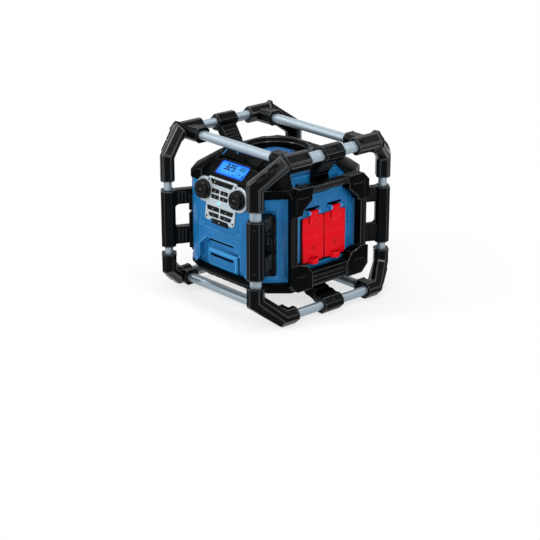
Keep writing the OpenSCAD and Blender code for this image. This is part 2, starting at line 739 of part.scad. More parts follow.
module flap_lugs() for (s = [-1, 1], e = [-1, 1])
  translate([flap_hinge_x, s * socket_y + e * (strap_w / 2 + lug_w / 2 + seam), flap_hinge_z])
    rotate([90, 0, 0]) difference() {
      union() {
        cylinder(r = lug_r, h = lug_w, center = true);
        translate([-(flap_hinge_x - pad_x) - 3, -lug_r, -lug_w / 2])
          cube([flap_hinge_x - pad_x + 3, 2 * lug_r, lug_w]);
      }
      cylinder(d = pin_d + 0.1, h = lug_w + 2, center = true);
    }

// Battery bay in the left side
module battery_bay() {
  translate([-side_x - panel_pad - 10, -battery_y, battery_hinge_z - 6])
    cube([battery_depth + panel_pad + 10, 2 * battery_y, battery_h + 8]);
  translate([-pad_x - 1, -battery_y - 3, battery_hinge_z - 8]) cube([5, 2 * battery_y + 6, battery_h + 12]);
}

module rear_recess() translate([-rear_w / 2, front_y - 5, rear_low]) cube([rear_w, 20, rear_h]);

// ---- base skid
module base_skid() color(black) {
  difference() {
    hull() {
      translate([0, 0, skid_top - seam - 8]) linear_extrude(8) polygon(plan(2));
      translate([0, 0, skid_z]) linear_extrude(1)
        polygon([for (p = plan(-2)) [p[0], p[1] * 0.86]]);
    }
    translate([0, 0, skid_z + 8]) linear_extrude(40) polygon([for (p = plan(-16)) [p[0], p[1] * 0.9]]);
    // grooves across the underside that drain water
    for (k = [-4 : 4]) translate([k * 24 - 3, -front_y - 10, skid_z - 2]) cube([6, 2 * front_y + 20, 4]);
  }
}

// ---- top shell
module top_shell() color(black) {
  difference() {
    union() {
      translate([0, 0, housing_top + seam]) linear_extrude(18) polygon(plan(2.5));
      hull() {
        translate([0, 0, housing_top + 17]) linear_extrude(2) polygon(plan(2.5));
        translate([0, 0, shell_top - 1]) linear_extrude(1)
          polygon([[62, -103], [92, -88], [100, -62], [100, 62], [92, 88], [62, 103],
            [-62, 103], [-92, 88], [-100, 62], [-100, -62], [-92, -88], [-62, -103]]);
      }
      translate([0, 0, shell_top - 4]) rotate([0, 0, 22.5])
        cylinder(r = ring_r + 3, h = ring_top - shell_top + 4, $fn = 8);
    }
    // wide notches for the housing's side slopes
    for (right = [false, true]) corner(right, true) {
      hull() {
        translate([side_x - 44, -side_y + 2 - seam, housing_top - 4])
          cube([60, 2 * side_y - 4 + 2 * seam, 6]);
        translate([slope_top[0] - 8 - seam, -slope_top[1] - seam, slope_top[2] - 1])
          cube([60, 2 * slope_top[1] + 2 * seam, 1 + seam]);
      }
    }
    // front slope for the display, and a flat dish in the top
    on_panel() translate([-200, -84, -0.5]) cube([400, 130, 60]);
    // the display slope lies between two raised cheeks
    on_display() translate([-cheek_x, -80, 0]) cube([2 * cheek_x, 93, 60]);
    on_display() translate([-lcd_w / 2 - 0.3, -lcd_h / 2 - 0.3, -2.5]) cube([lcd_w + 0.6, lcd_h + 0.6, 10]);
    on_display() translate([-lcd_w / 2 + 3, -lcd_h / 2 + 3, -7]) cube([lcd_w - 6, lcd_h - 6, 10]);
    translate([0, 0, dish_floor]) cylinder(r = dish_r, h = 60, $fn = 96);
    translate([0, 0, dish_floor + 17]) cylinder(r1 = dish_r - 1, r2 = dish_r + 11, h = 12, $fn = 96);
    on_panel() translate([0, 0, -plate_sink]) linear_extrude(10) plate_pocket(seam);
    on_panel() translate([0, 0, -well_deep]) linear_extrude(10) all_keys(2.2);
    translate([0, 0, housing_top - 1]) cylinder(r = bass_r + 2, h = dish_floor - dish_skin - housing_top + 1);
    // inside is hollow below the dish
    translate([0, 0, housing_top - 1]) linear_extrude(20) polygon(plan(-30));
    media_cuts();
  }
}

// Side view of the lid: a slope, a short flat and a round rear edge at the hinge
module media_profile(grow = 0) {
  polygon([[media_front[0] - grow, media_front[1] + grow], [media_back[0], media_back[1] + grow],
    [media_hinge[0], media_back[1] + grow], [media_hinge[0], media_back[1] - media_t - grow],
    [media_back[0], media_back[1] - media_t - grow],
    [media_front[0] + media_t - grow, media_front[1] - media_t - grow]]);
  translate(media_hinge) circle(d = media_t + 2 * grow);
}

module media_cuts() {
  translate([-media_x - seam, 0, 0]) rotate([90, 0, 90]) linear_extrude(2 * media_x + 2 * seam)
    media_profile(seam);
  translate([-media_x + 8, -100, shell_top - 22]) cube([2 * media_x - 16, 20, 26]);
  for (s = [-1, 1]) translate([s * (media_x - 3), media_hinge[0], media_hinge[1]]) rotate([0, 90, 0])
    cylinder(r = 3.4, h = 12, center = true);
}

module media_door() color(black) {
  translate([-media_x, 0, 0]) rotate([90, 0, 90]) linear_extrude(2 * media_x) media_profile();
  translate([-8, media_front[0] + 1, media_front[1] - 1]) rotate([33, 0, 0]) cube([16, 7, 3]);
}

// Half section of the dome: a low curve of radius r and height h
module dome_curve(r, h, low)
  polygon([[0, low], [r, low], [r, h * 0.2], [r * 0.85, h * 0.52], [r * 0.62, h * 0.79], [r * 0.31, h * 0.95],
    [0, h]]);

// Dome over the bass driver in the dish
module speaker_dome() color(blue) translate([0, 0, dish_floor])
  rotate_extrude($fn = 72) intersection() {
    square([dome_r + 1, 40]);
    difference() {
      dome_curve(dome_r, 19, 0.02);
      dome_curve(dome_r - 4, 16, -1);
    }
  }

// ---- display
module display_window() color([0.35, 0.6, 1.0]) on_display()
  translate([-lcd_w / 2, -lcd_h / 2, -2.2]) cube([lcd_w, lcd_h, 1.6]);

module display_module() color([0.1, 0.3, 0.9]) on_display()
  translate([-lcd_w / 2 + 3.3, -lcd_h / 2 + 3.3, -6.7]) cube([lcd_w - 6.6, lcd_h - 6.6, 4.2]);

// ---- control plate
module control_plate() color(silver) on_panel() difference() {
  translate([0, 0, -plate_sink + 0.02]) linear_extrude(plate_t) plate_outline();
  translate([0, 0, -plate_sink - 1]) linear_extrude(plate_t + 4) all_keys(key_gap);
  for (s = [-1, 1]) translate([s * knob_x, 0, -plate_sink - 1]) cylinder(d = shaft_d + 0.3, h = plate_t + 4);
  for (p = plate_screws) translate([p[0], p[1], plate_t - plate_sink - 1.8]) cylinder(d = 5.4, h = 4);
  translate([led_at[0], led_at[1], plate_t - plate_sink - 1]) cylinder(d = 6, h = 4);
}

// A knob with a fluted rim, a recessed face and its shaft
module knob() color(black) {
  lift = plate_t - plate_sink + 0.4;
  knob_r = knob_d / 2;
  difference() {
    union() {
      translate([0, 0, lift]) rotate_extrude($fn = 72)
        polygon([[0, 0], [knob_r, 0], [knob_r, 4], [knob_r - 1.6, 5], [knob_r - 2.4, knob_h - 2],
          [knob_r - 5, knob_h], [knob_r - 9, knob_h], [knob_r - 10, knob_h - 1], [0, knob_h - 1]]);
      translate([0, 0, -well_deep - 2]) cylinder(d = shaft_d, h = well_deep + lift + 3);
    }
    for (k = [0 : 11]) rotate([0, 0, 30 * k + 8]) translate([knob_r - 0.4, 0, lift + 6])
      cylinder(r = 2.4, h = knob_h, $fn = 24);
  }
}

module key_body(proud) {
  translate([0, 0, -plate_sink - 2]) linear_extrude(2 + plate_t + proud) children(0);
  translate([0, 0, -plate_sink - 2.3]) linear_extrude(1.9) children(1);
}

module square_key(k) color(black) on_panel() key_body(1.4) {
  key_shape(k);
  key_shape(k, 1.2);
}

module power_key() color(black) on_panel() key_body(1.4) {
  slant_shape(power_at, false);
  slant_shape(power_at, false, 1.2);
}

module enter_key() color(black) on_panel() key_body(1.4) {
  slant_shape(enter_at, true);
  slant_shape(enter_at, true, 1.2);
}

// ---- mains sockets
module socket_module() color(black) {
  difference() {
    union() {
      on_side(pad_x - 2 + 0.02) linear_extrude(2) socket_plate_outline();
      on_side(pad_x - socket_deep) linear_extrude(socket_deep) socket_places() circle(r = well_r);
    }
    on_side(pad_x - socket_deep + 3) linear_extrude(30) socket_places() difference() {
      circle(r = well_r - 2);
      for (s = [-1, 1]) translate([0, s * (well_r - 1)]) square([5, 4], center = true);
    }
    on_side(pad_x - socket_deep - 1) linear_extrude(10) socket_places()
      for (s = [-1, 1]) translate([s * 9.5, 0]) circle(d = 5);
    // clear of the lugs
    for (s = [-1, 1]) translate([pad_x - 4, s * socket_y - strap_w, flap_hinge_z - lug_r - 1])
      cube([10, 2 * strap_w, 20]);
  }
}

// Half-round scoop to pull a flap open, hollow and open at its top
tab_r = 14;
tab_h = 12;
tab_wall = 2.4;

module pull_tab() difference() {
  cylinder(r = tab_r, h = tab_h);
  translate([0, 0, tab_wall]) cylinder(r = tab_r - tab_wall, h = tab_h);
  translate([-2 * tab_r, -tab_r - 1, -1]) cube([2 * tab_r, 2 * tab_r + 2, tab_h + 2]);
}

// A sprung flap, drawn for the socket at y
module flap(y) color(red) {
  top = flap_hinge_z - 10;
  face_x = pad_x + seam;
  difference() {
    union() {
      on_side(face_x) linear_extrude(flap_t) translate([y, 0]) {
        translate([-flap_w / 2, top - flap_h + 6]) square([flap_w, flap_h - 12]);
        translate([-flap_w / 2 + 6, top - flap_h]) square([flap_w - 12, flap_h]);
        for (s = [-1, 1], z = [top - 6, top - flap_h + 6]) translate([s * (flap_w / 2 - 6), z]) circle(r = 6);
      }
      // raised lower field
      translate([face_x + flap_t - 1, y - flap_w / 2 + 2, top - flap_h + 8])
        cube([1.6, flap_w - 8, flap_h - 55]);
      // strap up to the hinge and its knuckle
      translate([face_x, y - strap_w / 2, top - 20]) cube([flap_t + 2.4, strap_w, 33 - lug_r]);
      translate([flap_hinge_x, y, flap_hinge_z]) rotate([90, 0, 0])
        cylinder(r = lug_r - 0.4, h = strap_w, center = true);
      translate([face_x + 1, y, top - flap_h - 4]) pull_tab();
    }
    translate([flap_hinge_x, y, flap_hinge_z]) rotate([90, 0, 0])
      cylinder(d = pin_d + 0.3, h = strap_w + 2, center = true);
    // pocket in the strap and a slot on each side of it
    translate([face_x + flap_t + 1, y - strap_w / 2 + 3, top - 17]) cube([4, strap_w - 6, 12]);
    for (s = [-1, 1]) translate([face_x + flap_t / 2, y + s * (strap_w / 2 + 1.3), top - 6])
      cube([flap_t + 2, 2.6, 20], center = true);
  }
}

module hinge_pins() color(silver) {
  for (s = [-1, 1]) translate([flap_hinge_x, s * socket_y, flap_hinge_z]) rotate([90, 0, 0])
    cylinder(d = pin_d, h = strap_w + 2 * lug_w + 2 * seam, center = true);
  translate([-pad_x - 3, 0, battery_hinge_z]) rotate([90, 0, 0])
    cylinder(d = pin_d, h = 2 * knuckle_half + 10, center = true);
}

// ---- socket guard, drawn on the right side
guard_cut = 19;
guard_pad_y = 54;                                            // the corner pads reach inwards to here
guard_bar = 4;                                               // the bars lie this much behind the pads

module guard_outline(grow = 0) polygon([for (k = [[1, -1], [1, 1], [-1, 1], [-1, -1]], e = [0, 1])
  let (first = (k[0] * k[1] > 0) ? e == 0 : e == 1, z = k[1] > 0 ? guard_high + grow : guard_low - grow)
  first ? [k[0] * (guard_y + grow), z - k[1] * guard_cut] : [k[0] * (guard_y + grow - guard_cut), z]]);

// Right half of the opening: straight at the top and bottom, stepped round the corner pads
module guard_opening() for (right = [0, 1]) mirror([right, 0]) polygon([
  [-1, guard_open_low], [guard_pad_y, guard_open_low], [guard_pad_y + 4, guard_open_low + 5],
  [guard_pad_y + 12, guard_open_low + 19], [guard_pad_y + 32, guard_open_low + 26],
  [guard_open_y, guard_open_low + 26], [guard_open_y, guard_open_high - 44],
  [guard_open_y - 12, guard_open_high - 44], [guard_open_y - 14, guard_open_high - 34],
  [guard_pad_y + 10, guard_open_high - 20], [guard_pad_y + 2, guard_open_high - 14],
  [guard_pad_y + 2, guard_open_high], [-1, guard_open_high]]);

// The four corner pads
module guard_pads() intersection() {
  guard_outline();
  union() {
    for (s = [-1, 1]) {
      translate([s > 0 ? guard_pad_y : -guard_y, guard_high - 62]) square([guard_y - guard_pad_y, 62]);
      translate([s > 0 ? guard_pad_y : -guard_y, guard_low]) square([guard_y - guard_pad_y, 63]);
    }
  }
}

module side_guard_right() color(black) {
  difference() {
    union() {
      on_side(pad_x + seam) linear_extrude(guard_x - pad_x - seam - guard_bar) difference() {
        guard_outline(-3);
        guard_opening();
      }
      on_side(pad_x + 4) linear_extrude(guard_x - pad_x - 4) difference() {
        guard_pads();
        guard_opening();
      }
      // bosses that stand on the housing's side
      for (s = [-1, 1], z = [guard_low + 46, guard_high - 46])
        on_side(side_x + seam) linear_extrude(panel_pad + 2) translate([s * (side_y - 8), z]) circle(d = 14);
    }
    // slanted flanks make the guard narrower at its foot
    for (s = [0, 1]) mirror([0, s, 0]) translate([pad_x - 1, guard_y - 12, 0]) rotate([0, 0, 24])
      cube([60, 40, 400]);
    // angled line sunk in each pad
    for (s = [-1, 1]) on_side(guard_x - 0.8) linear_extrude(2) {
      translate([s * 86, guard_high - 22]) square([34, 2], center = true);
      translate([s * 102, guard_high - 38]) square([2, 34], center = true);
      translate([s * 88, guard_low + 36]) square([26, 2], center = true);
    }
    // grooves along the bars
    for (k = [0, 1]) translate([guard_x - guard_bar - 2, -guard_pad_y + 2, guard_open_high + 3 + 6 * k])
      cube([6, 2 * guard_pad_y - 4, 2.4]);
    for (k = [0 : 2]) translate([guard_x - guard_bar - 2, -guard_pad_y + 2, guard_low + 6 + 9 * k])
      cube([6, 2 * guard_pad_y - 4, 3]);
    for (s = [-1, 1]) translate([guard_x - guard_bar - 2, s * (guard_y - 10) - 1.5, guard_low + 67])
      cube([6, 3, guard_high - guard_low - 133]);
  }
}

// ---- frame round the battery bay, drawn on the right side and mirrored
module side_guard_left() color(black) {
  low = battery_hinge_z - 22;
  high = battery_hinge_z + battery_h + 24;
  difference() {
    on_side(pad_x + seam) linear_extrude(frame_x - pad_x - seam) difference() {
      polygon([[-frame_y + 12, low], [frame_y - 12, low], [frame_y, low + 12], [frame_y, high - 12],
        [frame_y - 12, high], [-frame_y + 12, high], [-frame_y, high - 12], [-frame_y, low + 12]]);
      translate([-battery_y - 5, low + 10]) square([2 * battery_y + 10, high - low - 20]);
    }
    for (s = [-1, 1], k = [0 : 2]) translate([frame_x - 1.2, s * (frame_y - 8 - 8 * k) - 1.5, low + 20])
      cube([3, 3, high - low - 40]);
  }
  for (s = [-1, 1], z = [low + 20, high - 20]) on_side(side_x + seam) linear_extrude(panel_pad + 2)
    translate([s * (frame_y - 8), z]) circle(d = 12);
}

// ---- battery side
module battery_door() color(blue) {
  difference() {
    union() {
      translate([-pad_x - 2, -battery_y - 2.4, battery_hinge_z + 5])
        cube([5, 2 * battery_y + 4.8, battery_h - 2]);
      for (k = [0 : 4]) translate([-pad_x - 4, -battery_y + 8, battery_hinge_z + 22 + 16 * k])
        cube([4, 2 * battery_y - 16, 4]);
      translate([-pad_x - 3, 0, battery_hinge_z]) rotate([90, 0, 0])
        cylinder(r = 4.6, h = 2 * knuckle_half, center = true);
      translate([-pad_x - 3 - 1, -knuckle_half, battery_hinge_z]) cube([5, 2 * knuckle_half, 8]);
    }
    translate([-pad_x - 3, 0, battery_hinge_z]) rotate([90, 0, 0])
      cylinder(d = pin_d + 0.3, h = 2 * knuckle_half + 30, center = true);
    translate([-pad_x, 0, latch_z]) cube([20, latch_w + 2 * seam, latch_h + 2 * seam], center = true);
  }
}

// Push latch: a sprung button that rides in the door and presses inwards
module battery_latch() color(black) {
  translate([-pad_x - 3.5, -latch_w / 2, latch_z - latch_h / 2]) cube([7.5, latch_w, latch_h]);
  translate([-pad_x + 3 + seam, -latch_w / 2 - 1.5, latch_z - latch_h / 2 - 1.5])
    cube([1.5, latch_w + 3, latch_h + 3]);
}

// ---- rear
module rear_panel() color(black) {
  difference() {
    translate([-rear_w / 2 + seam, front_y - 5 + 0.02, rear_low + seam])
      cube([rear_w - 2 * seam, 7, rear_h - 2 * seam]);
    for (k = [0 : 7]) translate([-vent_w / 2, front_y - 2, rear_low + rear_h / 2 - 3 + 7 * k])
      cube([vent_w, 8, 3]);
    translate([-inlet[0] / 2, front_y - 3, rear_low + 14]) cube([inlet[0], 10, inlet[1]]);
  }
  for (x = [-7, 0, 7]) translate([x - 1, front_y - 3.5, rear_low + 24]) cube([2, 4, 5]);
}

// ---- inner pieces
module speaker_drivers() color([0.3, 0.3, 0.3]) {
  for (right = [false, true], front = [false, true]) corner(right, front)
    driver_place() translate([0, 0, -3 - seam]) rotate_extrude()
      polygon([[0, -24], [16, -24], [16, -12], [driver_r, 0], [driver_r, 3], [0, 3]]);
  translate([0, 0, dish_floor - dish_skin - seam - 40]) rotate_extrude()
    polygon([[0, 0], [30, 0], [30, 14], [bass_r, 36], [bass_r, 40], [0, 40]]);
}

module electronics() color([0.1, 0.4, 0.2]) {
  floor_z = skid_top + 10 + seam;
  translate([-board / 2, -board / 2, floor_z]) cube([board, board, 2]);
  translate([-board / 3, -board / 3, floor_z + 1]) cube(transformer);
}

// ---- assembly
corner(true, true) post_tube();  // post_tube_fr
corner(false, true) post_tube();  // post_tube_fl
corner(true, false) post_tube();  // post_tube_rr
corner(false, false) post_tube();  // post_tube_rl
corner(true, true) top_side_tube();  // top_side_tube_right
corner(false, true) top_side_tube();  // top_side_tube_left
corner(true, true) bottom_side_tube();  // bottom_side_tube_right
corner(false, true) bottom_side_tube();  // bottom_side_tube_left
corner(true, true) top_cross_tube();  // top_cross_tube_front
corner(true, false) top_cross_tube();  // top_cross_tube_rear
corner(true, true) bottom_cross_tube();  // bottom_cross_tube_front
corner(true, false) bottom_cross_tube();  // bottom_cross_tube_rear
corner(true, true) top_elbow();  // top_elbow_fr
corner(false, true) top_elbow();  // top_elbow_fl
corner(true, false) top_elbow();  // top_elbow_rr
corner(false, false) top_elbow();  // top_elbow_rl
corner(true, true) bottom_elbow();  // bottom_elbow_fr
corner(false, true) bottom_elbow();  // bottom_elbow_fl
corner(true, false) bottom_elbow();  // bottom_elbow_rr
corner(false, false) bottom_elbow();  // bottom_elbow_rl
corner(true, true) corner_bracket();  // corner_bracket_fr
corner(false, true) corner_bracket();  // corner_bracket_fl
corner(true, false) corner_bracket();  // corner_bracket_rr
corner(false, false) corner_bracket();  // corner_bracket_rl
corner(true, true) top_clamp();  // top_clamp_right
corner(false, true) top_clamp();  // top_clamp_left
corner(true, true) bottom_clamp();  // bottom_clamp_right
corner(false, true) bottom_clamp();  // bottom_clamp_left
cage_screws();
main_housing();
base_skid();
top_shell();
speaker_dome();
display_window();
display_module();
control_plate();
on_panel() translate([-knob_x, 0, 0]) knob();  // knob_left
on_panel() translate([knob_x, 0, 0]) knob();  // knob_right
power_key();
square_key(presets[0]);  // preset_key_1
square_key(presets[1]);  // preset_key_2
square_key(presets[2]);  // preset_key_3
square_key(presets[3]);  // preset_key_4
square_key(functions[0]);  // function_key_left
square_key(functions[1]);  // function_key_right
square_key(lowers[0]);  // lower_key_left
square_key(lowers[1]);  // lower_key_right
enter_key();
media_door();
flap(-socket_y);  // flap_front
flap(socket_y);  // flap_rear
hinge_pins();
socket_module();
side_guard_right();
corner(false, true) side_guard_left();
battery_door();
battery_latch();
rear_panel();
speaker_drivers();
electronics();
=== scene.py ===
# %% [markdown]
# # A site radio in its roll cage
# The radio is a blue housing with black top and base, slung in a cage of grooved aluminium tubes.
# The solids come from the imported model. This script gives them soft moulded edges, finishes and
# the small parts that the solids lack. Everything is made in metres, from sizes in millimetres
# times MM, in the model's own frame: +Z up, the control panel towards -Y and the mains sockets
# towards +X.

# %% Load the frame
import math

import bmesh
import bpy
from mathutils import Matrix, Vector


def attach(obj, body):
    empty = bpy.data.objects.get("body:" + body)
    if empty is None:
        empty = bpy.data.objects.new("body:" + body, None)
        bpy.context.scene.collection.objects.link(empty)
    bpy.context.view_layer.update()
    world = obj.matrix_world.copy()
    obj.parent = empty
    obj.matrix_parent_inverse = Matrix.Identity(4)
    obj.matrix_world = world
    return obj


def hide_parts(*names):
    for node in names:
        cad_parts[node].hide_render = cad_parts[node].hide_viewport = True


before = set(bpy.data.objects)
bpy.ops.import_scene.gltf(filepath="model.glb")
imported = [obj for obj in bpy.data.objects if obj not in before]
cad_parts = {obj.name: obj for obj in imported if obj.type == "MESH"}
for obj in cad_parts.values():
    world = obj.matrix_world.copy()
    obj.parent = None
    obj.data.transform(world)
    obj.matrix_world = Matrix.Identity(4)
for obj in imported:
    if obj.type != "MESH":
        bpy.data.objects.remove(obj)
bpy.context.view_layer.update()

MM = 0.001
scene = bpy.context.scene

# %% [markdown]
# ## The camera
# A long lens, high on the front right corner, shows the panel and the sockets at once. The camera
# comes first, because every finish is judged through it.

# %% Camera
camera = bpy.data.objects.new("camera", bpy.data.cameras.new("camera"))
camera.location = (2.65459268, -2.39857367, 1.37984829)
camera.rotation_euler = (1.21405986, 0, 0.839554483)
camera.data.lens = 109.964
camera.data.sensor_width = 36
scene.collection.objects.link(camera)
scene.camera = camera
print("lens", camera.data.lens)

# %% [markdown]
# ## Finishes
# A moulded plastic has a fine grain, slow changes of shade and a roughness that isn't even. One
# helper makes such a finish from three noises on Object coordinates, so that it stays with the
# piece and can be exported. Metal and rubber are the same recipe with other numbers. The rounded
# edges of a moulding get a shinier finish of their own, lighter in colour as a painted highlight.

# %% Helper for colours
def linear(r, g, b):
    """A screen colour of 0 to 255 as linear light."""
    shares = [c / 255 for c in (r, g, b)]
    return tuple(((c + 0.055) / 1.055) ** 2.4 if c > 0.04045 else c / 12.92 for c in shares) + (1.0,)


# %% Helper for finishes
SHADE_SCALE, PATCH_SCALE = 22, 70
GRAIN_DEPTH = 0.3 * MM


def finish(name, colour, rough, grain=1500, bump=0.12, vary=0.12, spread=0.08, metallic=0.0,
           stretch=(1, 1, 1), shine=0.2):
    """A procedural finish: colour varies slowly, roughness in patches, under a fine raised grain."""
    mat = bpy.data.materials.new(name)
    mat.use_nodes = True
    tree = mat.node_tree
    shader = tree.nodes["Principled BSDF"]
    shader.inputs["Metallic"].default_value = metallic
    shader.inputs["Specular IOR Level"].default_value = shine
    new, link = tree.nodes.new, tree.links.new
    spot = new("ShaderNodeTexCoord")
    drawn = new("ShaderNodeMapping")
    drawn.inputs["Scale"].default_value = stretch
    link(spot.outputs["Object"], drawn.inputs["Vector"])

    def noise(scale, detail):
        n = new("ShaderNodeTexNoise")
        n.inputs["Scale"].default_value = scale
        n.inputs["Detail"].default_value = detail
        link(drawn.outputs["Vector"], n.inputs["Vector"])
        return n.outputs["Fac"]

    ramp = new("ShaderNodeValToRGB")
    for end, position, share in zip(ramp.color_ramp.elements, (0.3, 0.7), (1 - vary, 1 + vary)):
        end.position = position
        end.color = tuple(min(1, c * share) for c in colour[:3]) + (1,)
    link(noise(SHADE_SCALE, 3), ramp.inputs["Fac"])
    link(ramp.outputs["Color"], shader.inputs["Base Color"])
    patches = new("ShaderNodeMapRange")
    patches.inputs["To Min"].default_value = max(0.02, rough - spread)
    patches.inputs["To Max"].default_value = rough + spread
    link(noise(PATCH_SCALE, 4), patches.inputs["Value"])
    link(patches.outputs["Result"], shader.inputs["Roughness"])
    raised_grain = new("ShaderNodeBump")
    raised_grain.inputs["Strength"].default_value = bump
    raised_grain.inputs["Distance"].default_value = GRAIN_DEPTH
    link(noise(grain, 2), raised_grain.inputs["Height"])
    link(raised_grain.outputs["Normal"], shader.inputs["Normal"])
    return mat


# %% [markdown]
# The flats of the black mouldings are deep and nearly dull, and only their edges catch the lamps; the edge
# finishes are also lighter in colour, a painted highlight.
# The blue is the same kind of plastic. The tubes' aluminium is drawn out along each tube, so the
# grain is stretched along the tube's own axis.

# %% Finishes of the cage and the body
CAGE = finish("cage_black", linear(7, 9, 11), 0.26, grain=1800, bump=0.04, shine=0.04)
# each edge finish in this cell is lighter in colour than the flat finish before it: a painted highlight on
# the rounded edges, besides its higher shine
CAGE_EDGE_PAINTED_HIGHLIGHT = finish("cage_edge_painted_highlight", linear(16, 20, 23), 0.26, grain=1800, bump=0.02, shine=0.44)
SHELL = finish("shell_black", linear(4, 5, 6), 0.4, grain=1400, bump=0.08, shine=0.02)
SHELL_EDGE_PAINTED_HIGHLIGHT = finish("shell_edge_painted_highlight", linear(15, 19, 21), 0.24, grain=1400, bump=0.04, shine=0.34)
GUARD = finish("guard_rubber", linear(4, 5, 6), 0.4, grain=1600, bump=0.06, shine=0.02)
GUARD_EDGE_PAINTED_HIGHLIGHT = finish("guard_edge_painted_highlight", linear(18, 22, 25), 0.22, grain=1600, bump=0.03, shine=0.46)
BLUE = finish("housing_blue", linear(23, 100, 155), 0.34, bump=0.08, vary=0.06, shine=0.14)
BLUE_EDGE_PAINTED_HIGHLIGHT = finish("housing_edge_painted_highlight", linear(50, 142, 198), 0.22, bump=0.03, vary=0.05, shine=0.4)
# the dome's blue is darker than the housing's: painted shade of the ring round it
DOME_BLUE_PAINTED_SHADE = finish("dome_blue_painted_shade", linear(18, 80, 130), 0.3, vary=0.05, shine=0.05)


def tube_finish(axis):
    """Aluminium whose grain is drawn out along one axis."""
    along = tuple(0.05 if a == axis else 1 for a in "xyz")
    return finish("tube_alu_" + axis, linear(150, 164, 174), 0.4, bump=0.01, vary=0.02, spread=0.01,
                  metallic=0.6, stretch=along)


ALU = {axis: tube_finish(axis) for axis in "xyz"}

# %% Finishes of the controls, the marks and the inside
SILVER = finish("plate_silver", linear(178, 190, 197), 0.36, grain=2600, bump=0.08, vary=0.04, metallic=0.55,
                stretch=(0.12, 1, 1), shine=0.4)
KNOB = finish("knob_rubber", linear(9, 11, 12), 0.34, grain=1900, bump=0.06, shine=0.05)
KEY = finish("key_rubber", linear(9, 10, 12), 0.4, grain=1900, bump=0.1, shine=0.08)
RED = finish("flap_red", linear(214, 8, 24), 0.32, grain=1200, bump=0.03, vary=0.04, shine=0.06)
# the flaps' edge finish is lighter than their red: a painted highlight on the rounded edges, besides its
# higher shine
RED_EDGE_PAINTED_HIGHLIGHT = finish("flap_edge_painted_highlight", linear(224, 30, 46), 0.22, grain=1200, bump=0.02, vary=0.04, shine=0.4)
RED_MARK = finish("flap_mark", linear(84, 4, 10), 0.4, vary=0.05, shine=0.1)
SOCKET = finish("socket_black", linear(10, 12, 14), 0.4, shine=0.08)
STEEL = finish("screw_steel", linear(30, 32, 34), 0.4, metallic=0.5)
# near black; on the screw cups, the port's mouth, the slot above it and the plate behind the flap lugs it is
# painted shade for holes and gaps that are not cut
DARK = finish("near_black_and_painted_shade", linear(3, 3, 4), 0.5, bump=0.02, shine=0.0)
MARK = finish("mark_cream", linear(168, 164, 150), 0.5, vary=0.04)
MARK_DIM = finish("mark_grey", linear(92, 98, 102), 0.5, vary=0.04)
INK = finish("lcd_ink", linear(4, 8, 30), 0.3, vary=0.05, shine=0.05)
BLUE_LINE = finish("line_blue", linear(8, 38, 66), 0.4, vary=0.05, shine=0.05)
# the blue of the lid's trim; on the flap lugs, which are housing blue, its lighter colour is a painted
# highlight
TRIM_BLUE_AND_LUG_HIGHLIGHT = finish("trim_blue_and_lug_highlight", linear(34, 128, 196), 0.3, vary=0.04, shine=0.4)
DRIVER = finish("driver_grey", linear(40, 42, 44), 0.5)
BOARD = finish("board_green", linear(20, 84, 48), 0.5)
print("finishes", len(bpy.data.materials))

# %% [markdown]
# ## Soft edges for the moulded parts
# Nothing that comes out of a mould has a knife edge. Each moulded solid is copied, its loose
# triangles are merged, and a Bevel modifier rounds the edges. The modifier is chosen because it
# takes hundreds of edges at once and stays easy to change. A weight on every edge keeps the round
# smaller where a rib or slot leaves little room, and the round gets the shinier, lighter finish:
# its lighter colour is a painted highlight.

# %% Helper for a piece
def add_piece(name, mesh, finishes, body, stands_for=()):
    """Links a mesh as a piece that rides on a body and may stand for CAD nodes."""
    ob = bpy.data.objects.new(name, mesh)
    scene.collection.objects.link(ob)
    for f in finishes:
        mesh.materials.append(f)
    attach(ob, body)
    if stands_for:
        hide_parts(*stands_for)
    return ob


# %% Helpers for rounded edges
CREASE = math.radians(28)  # faces that meet at more than this get a round
LEVEL = 0.02  # and at less than this, in radians, they count as one flat
ROOM = 0.36  # the round's share of the shortest edge near it
ROUND_STEPS = 3


def weigh(bm, width, least=0.0):
    """Weighs each crease, less where its neighbours leave little room, and not if it is too short."""
    weight = bm.edges.layers.float.new("bevel_weight_edge")
    creases = [e for e in bm.edges if len(e.link_faces) == 2 and e.calc_face_angle(0) > CREASE]
    for e in creases:
        e.smooth = e.calc_length() > least
        if e.smooth:
            beside = [o for v in e.verts for o in v.link_edges if o is not e]
            near = [o.calc_length() for o in beside if o.calc_face_angle(0) > LEVEL]
            e[weight] = min(1.0, ROOM * min(near + [e.calc_length()]) / width)


def round_edges(ob, width, paint=-1):
    """Rounds the weighted edges, and gives the round a finish of its own where one is named: a lighter one,
    a painted highlight.
    """
    bevel = ob.modifiers.new("edges", "BEVEL")
    bevel.width = width
    bevel.segments = ROUND_STEPS
    bevel.material = paint
    bevel.limit_method = "WEIGHT"
    bevel.use_clamp_overlap = False
    bevel.harden_normals = True


# %% Helper for new pieces
def from_bmesh(name, bm, finishes, body="root", stands_for=(), sharp=35, edges=0.0, paint=-1):
    """Turns a bmesh into a piece, with its edges rounded where a width is given for them."""
    bmesh.ops.recalc_face_normals(bm, faces=bm.faces[:])
    if edges:
        weigh(bm, edges)
    mesh = bpy.data.meshes.new(name)
    bm.to_mesh(mesh)
    bm.free()
    for p in mesh.polygons:
        p.use_smooth = True
    if not edges:
        mesh.set_sharp_from_angle(angle=math.radians(sharp))
    ob = add_piece(name, mesh, finishes, body, stands_for)
    if edges:
        round_edges(ob, edges, paint)


# %% Helper for softened solids
MERGE = 0.01 * MM


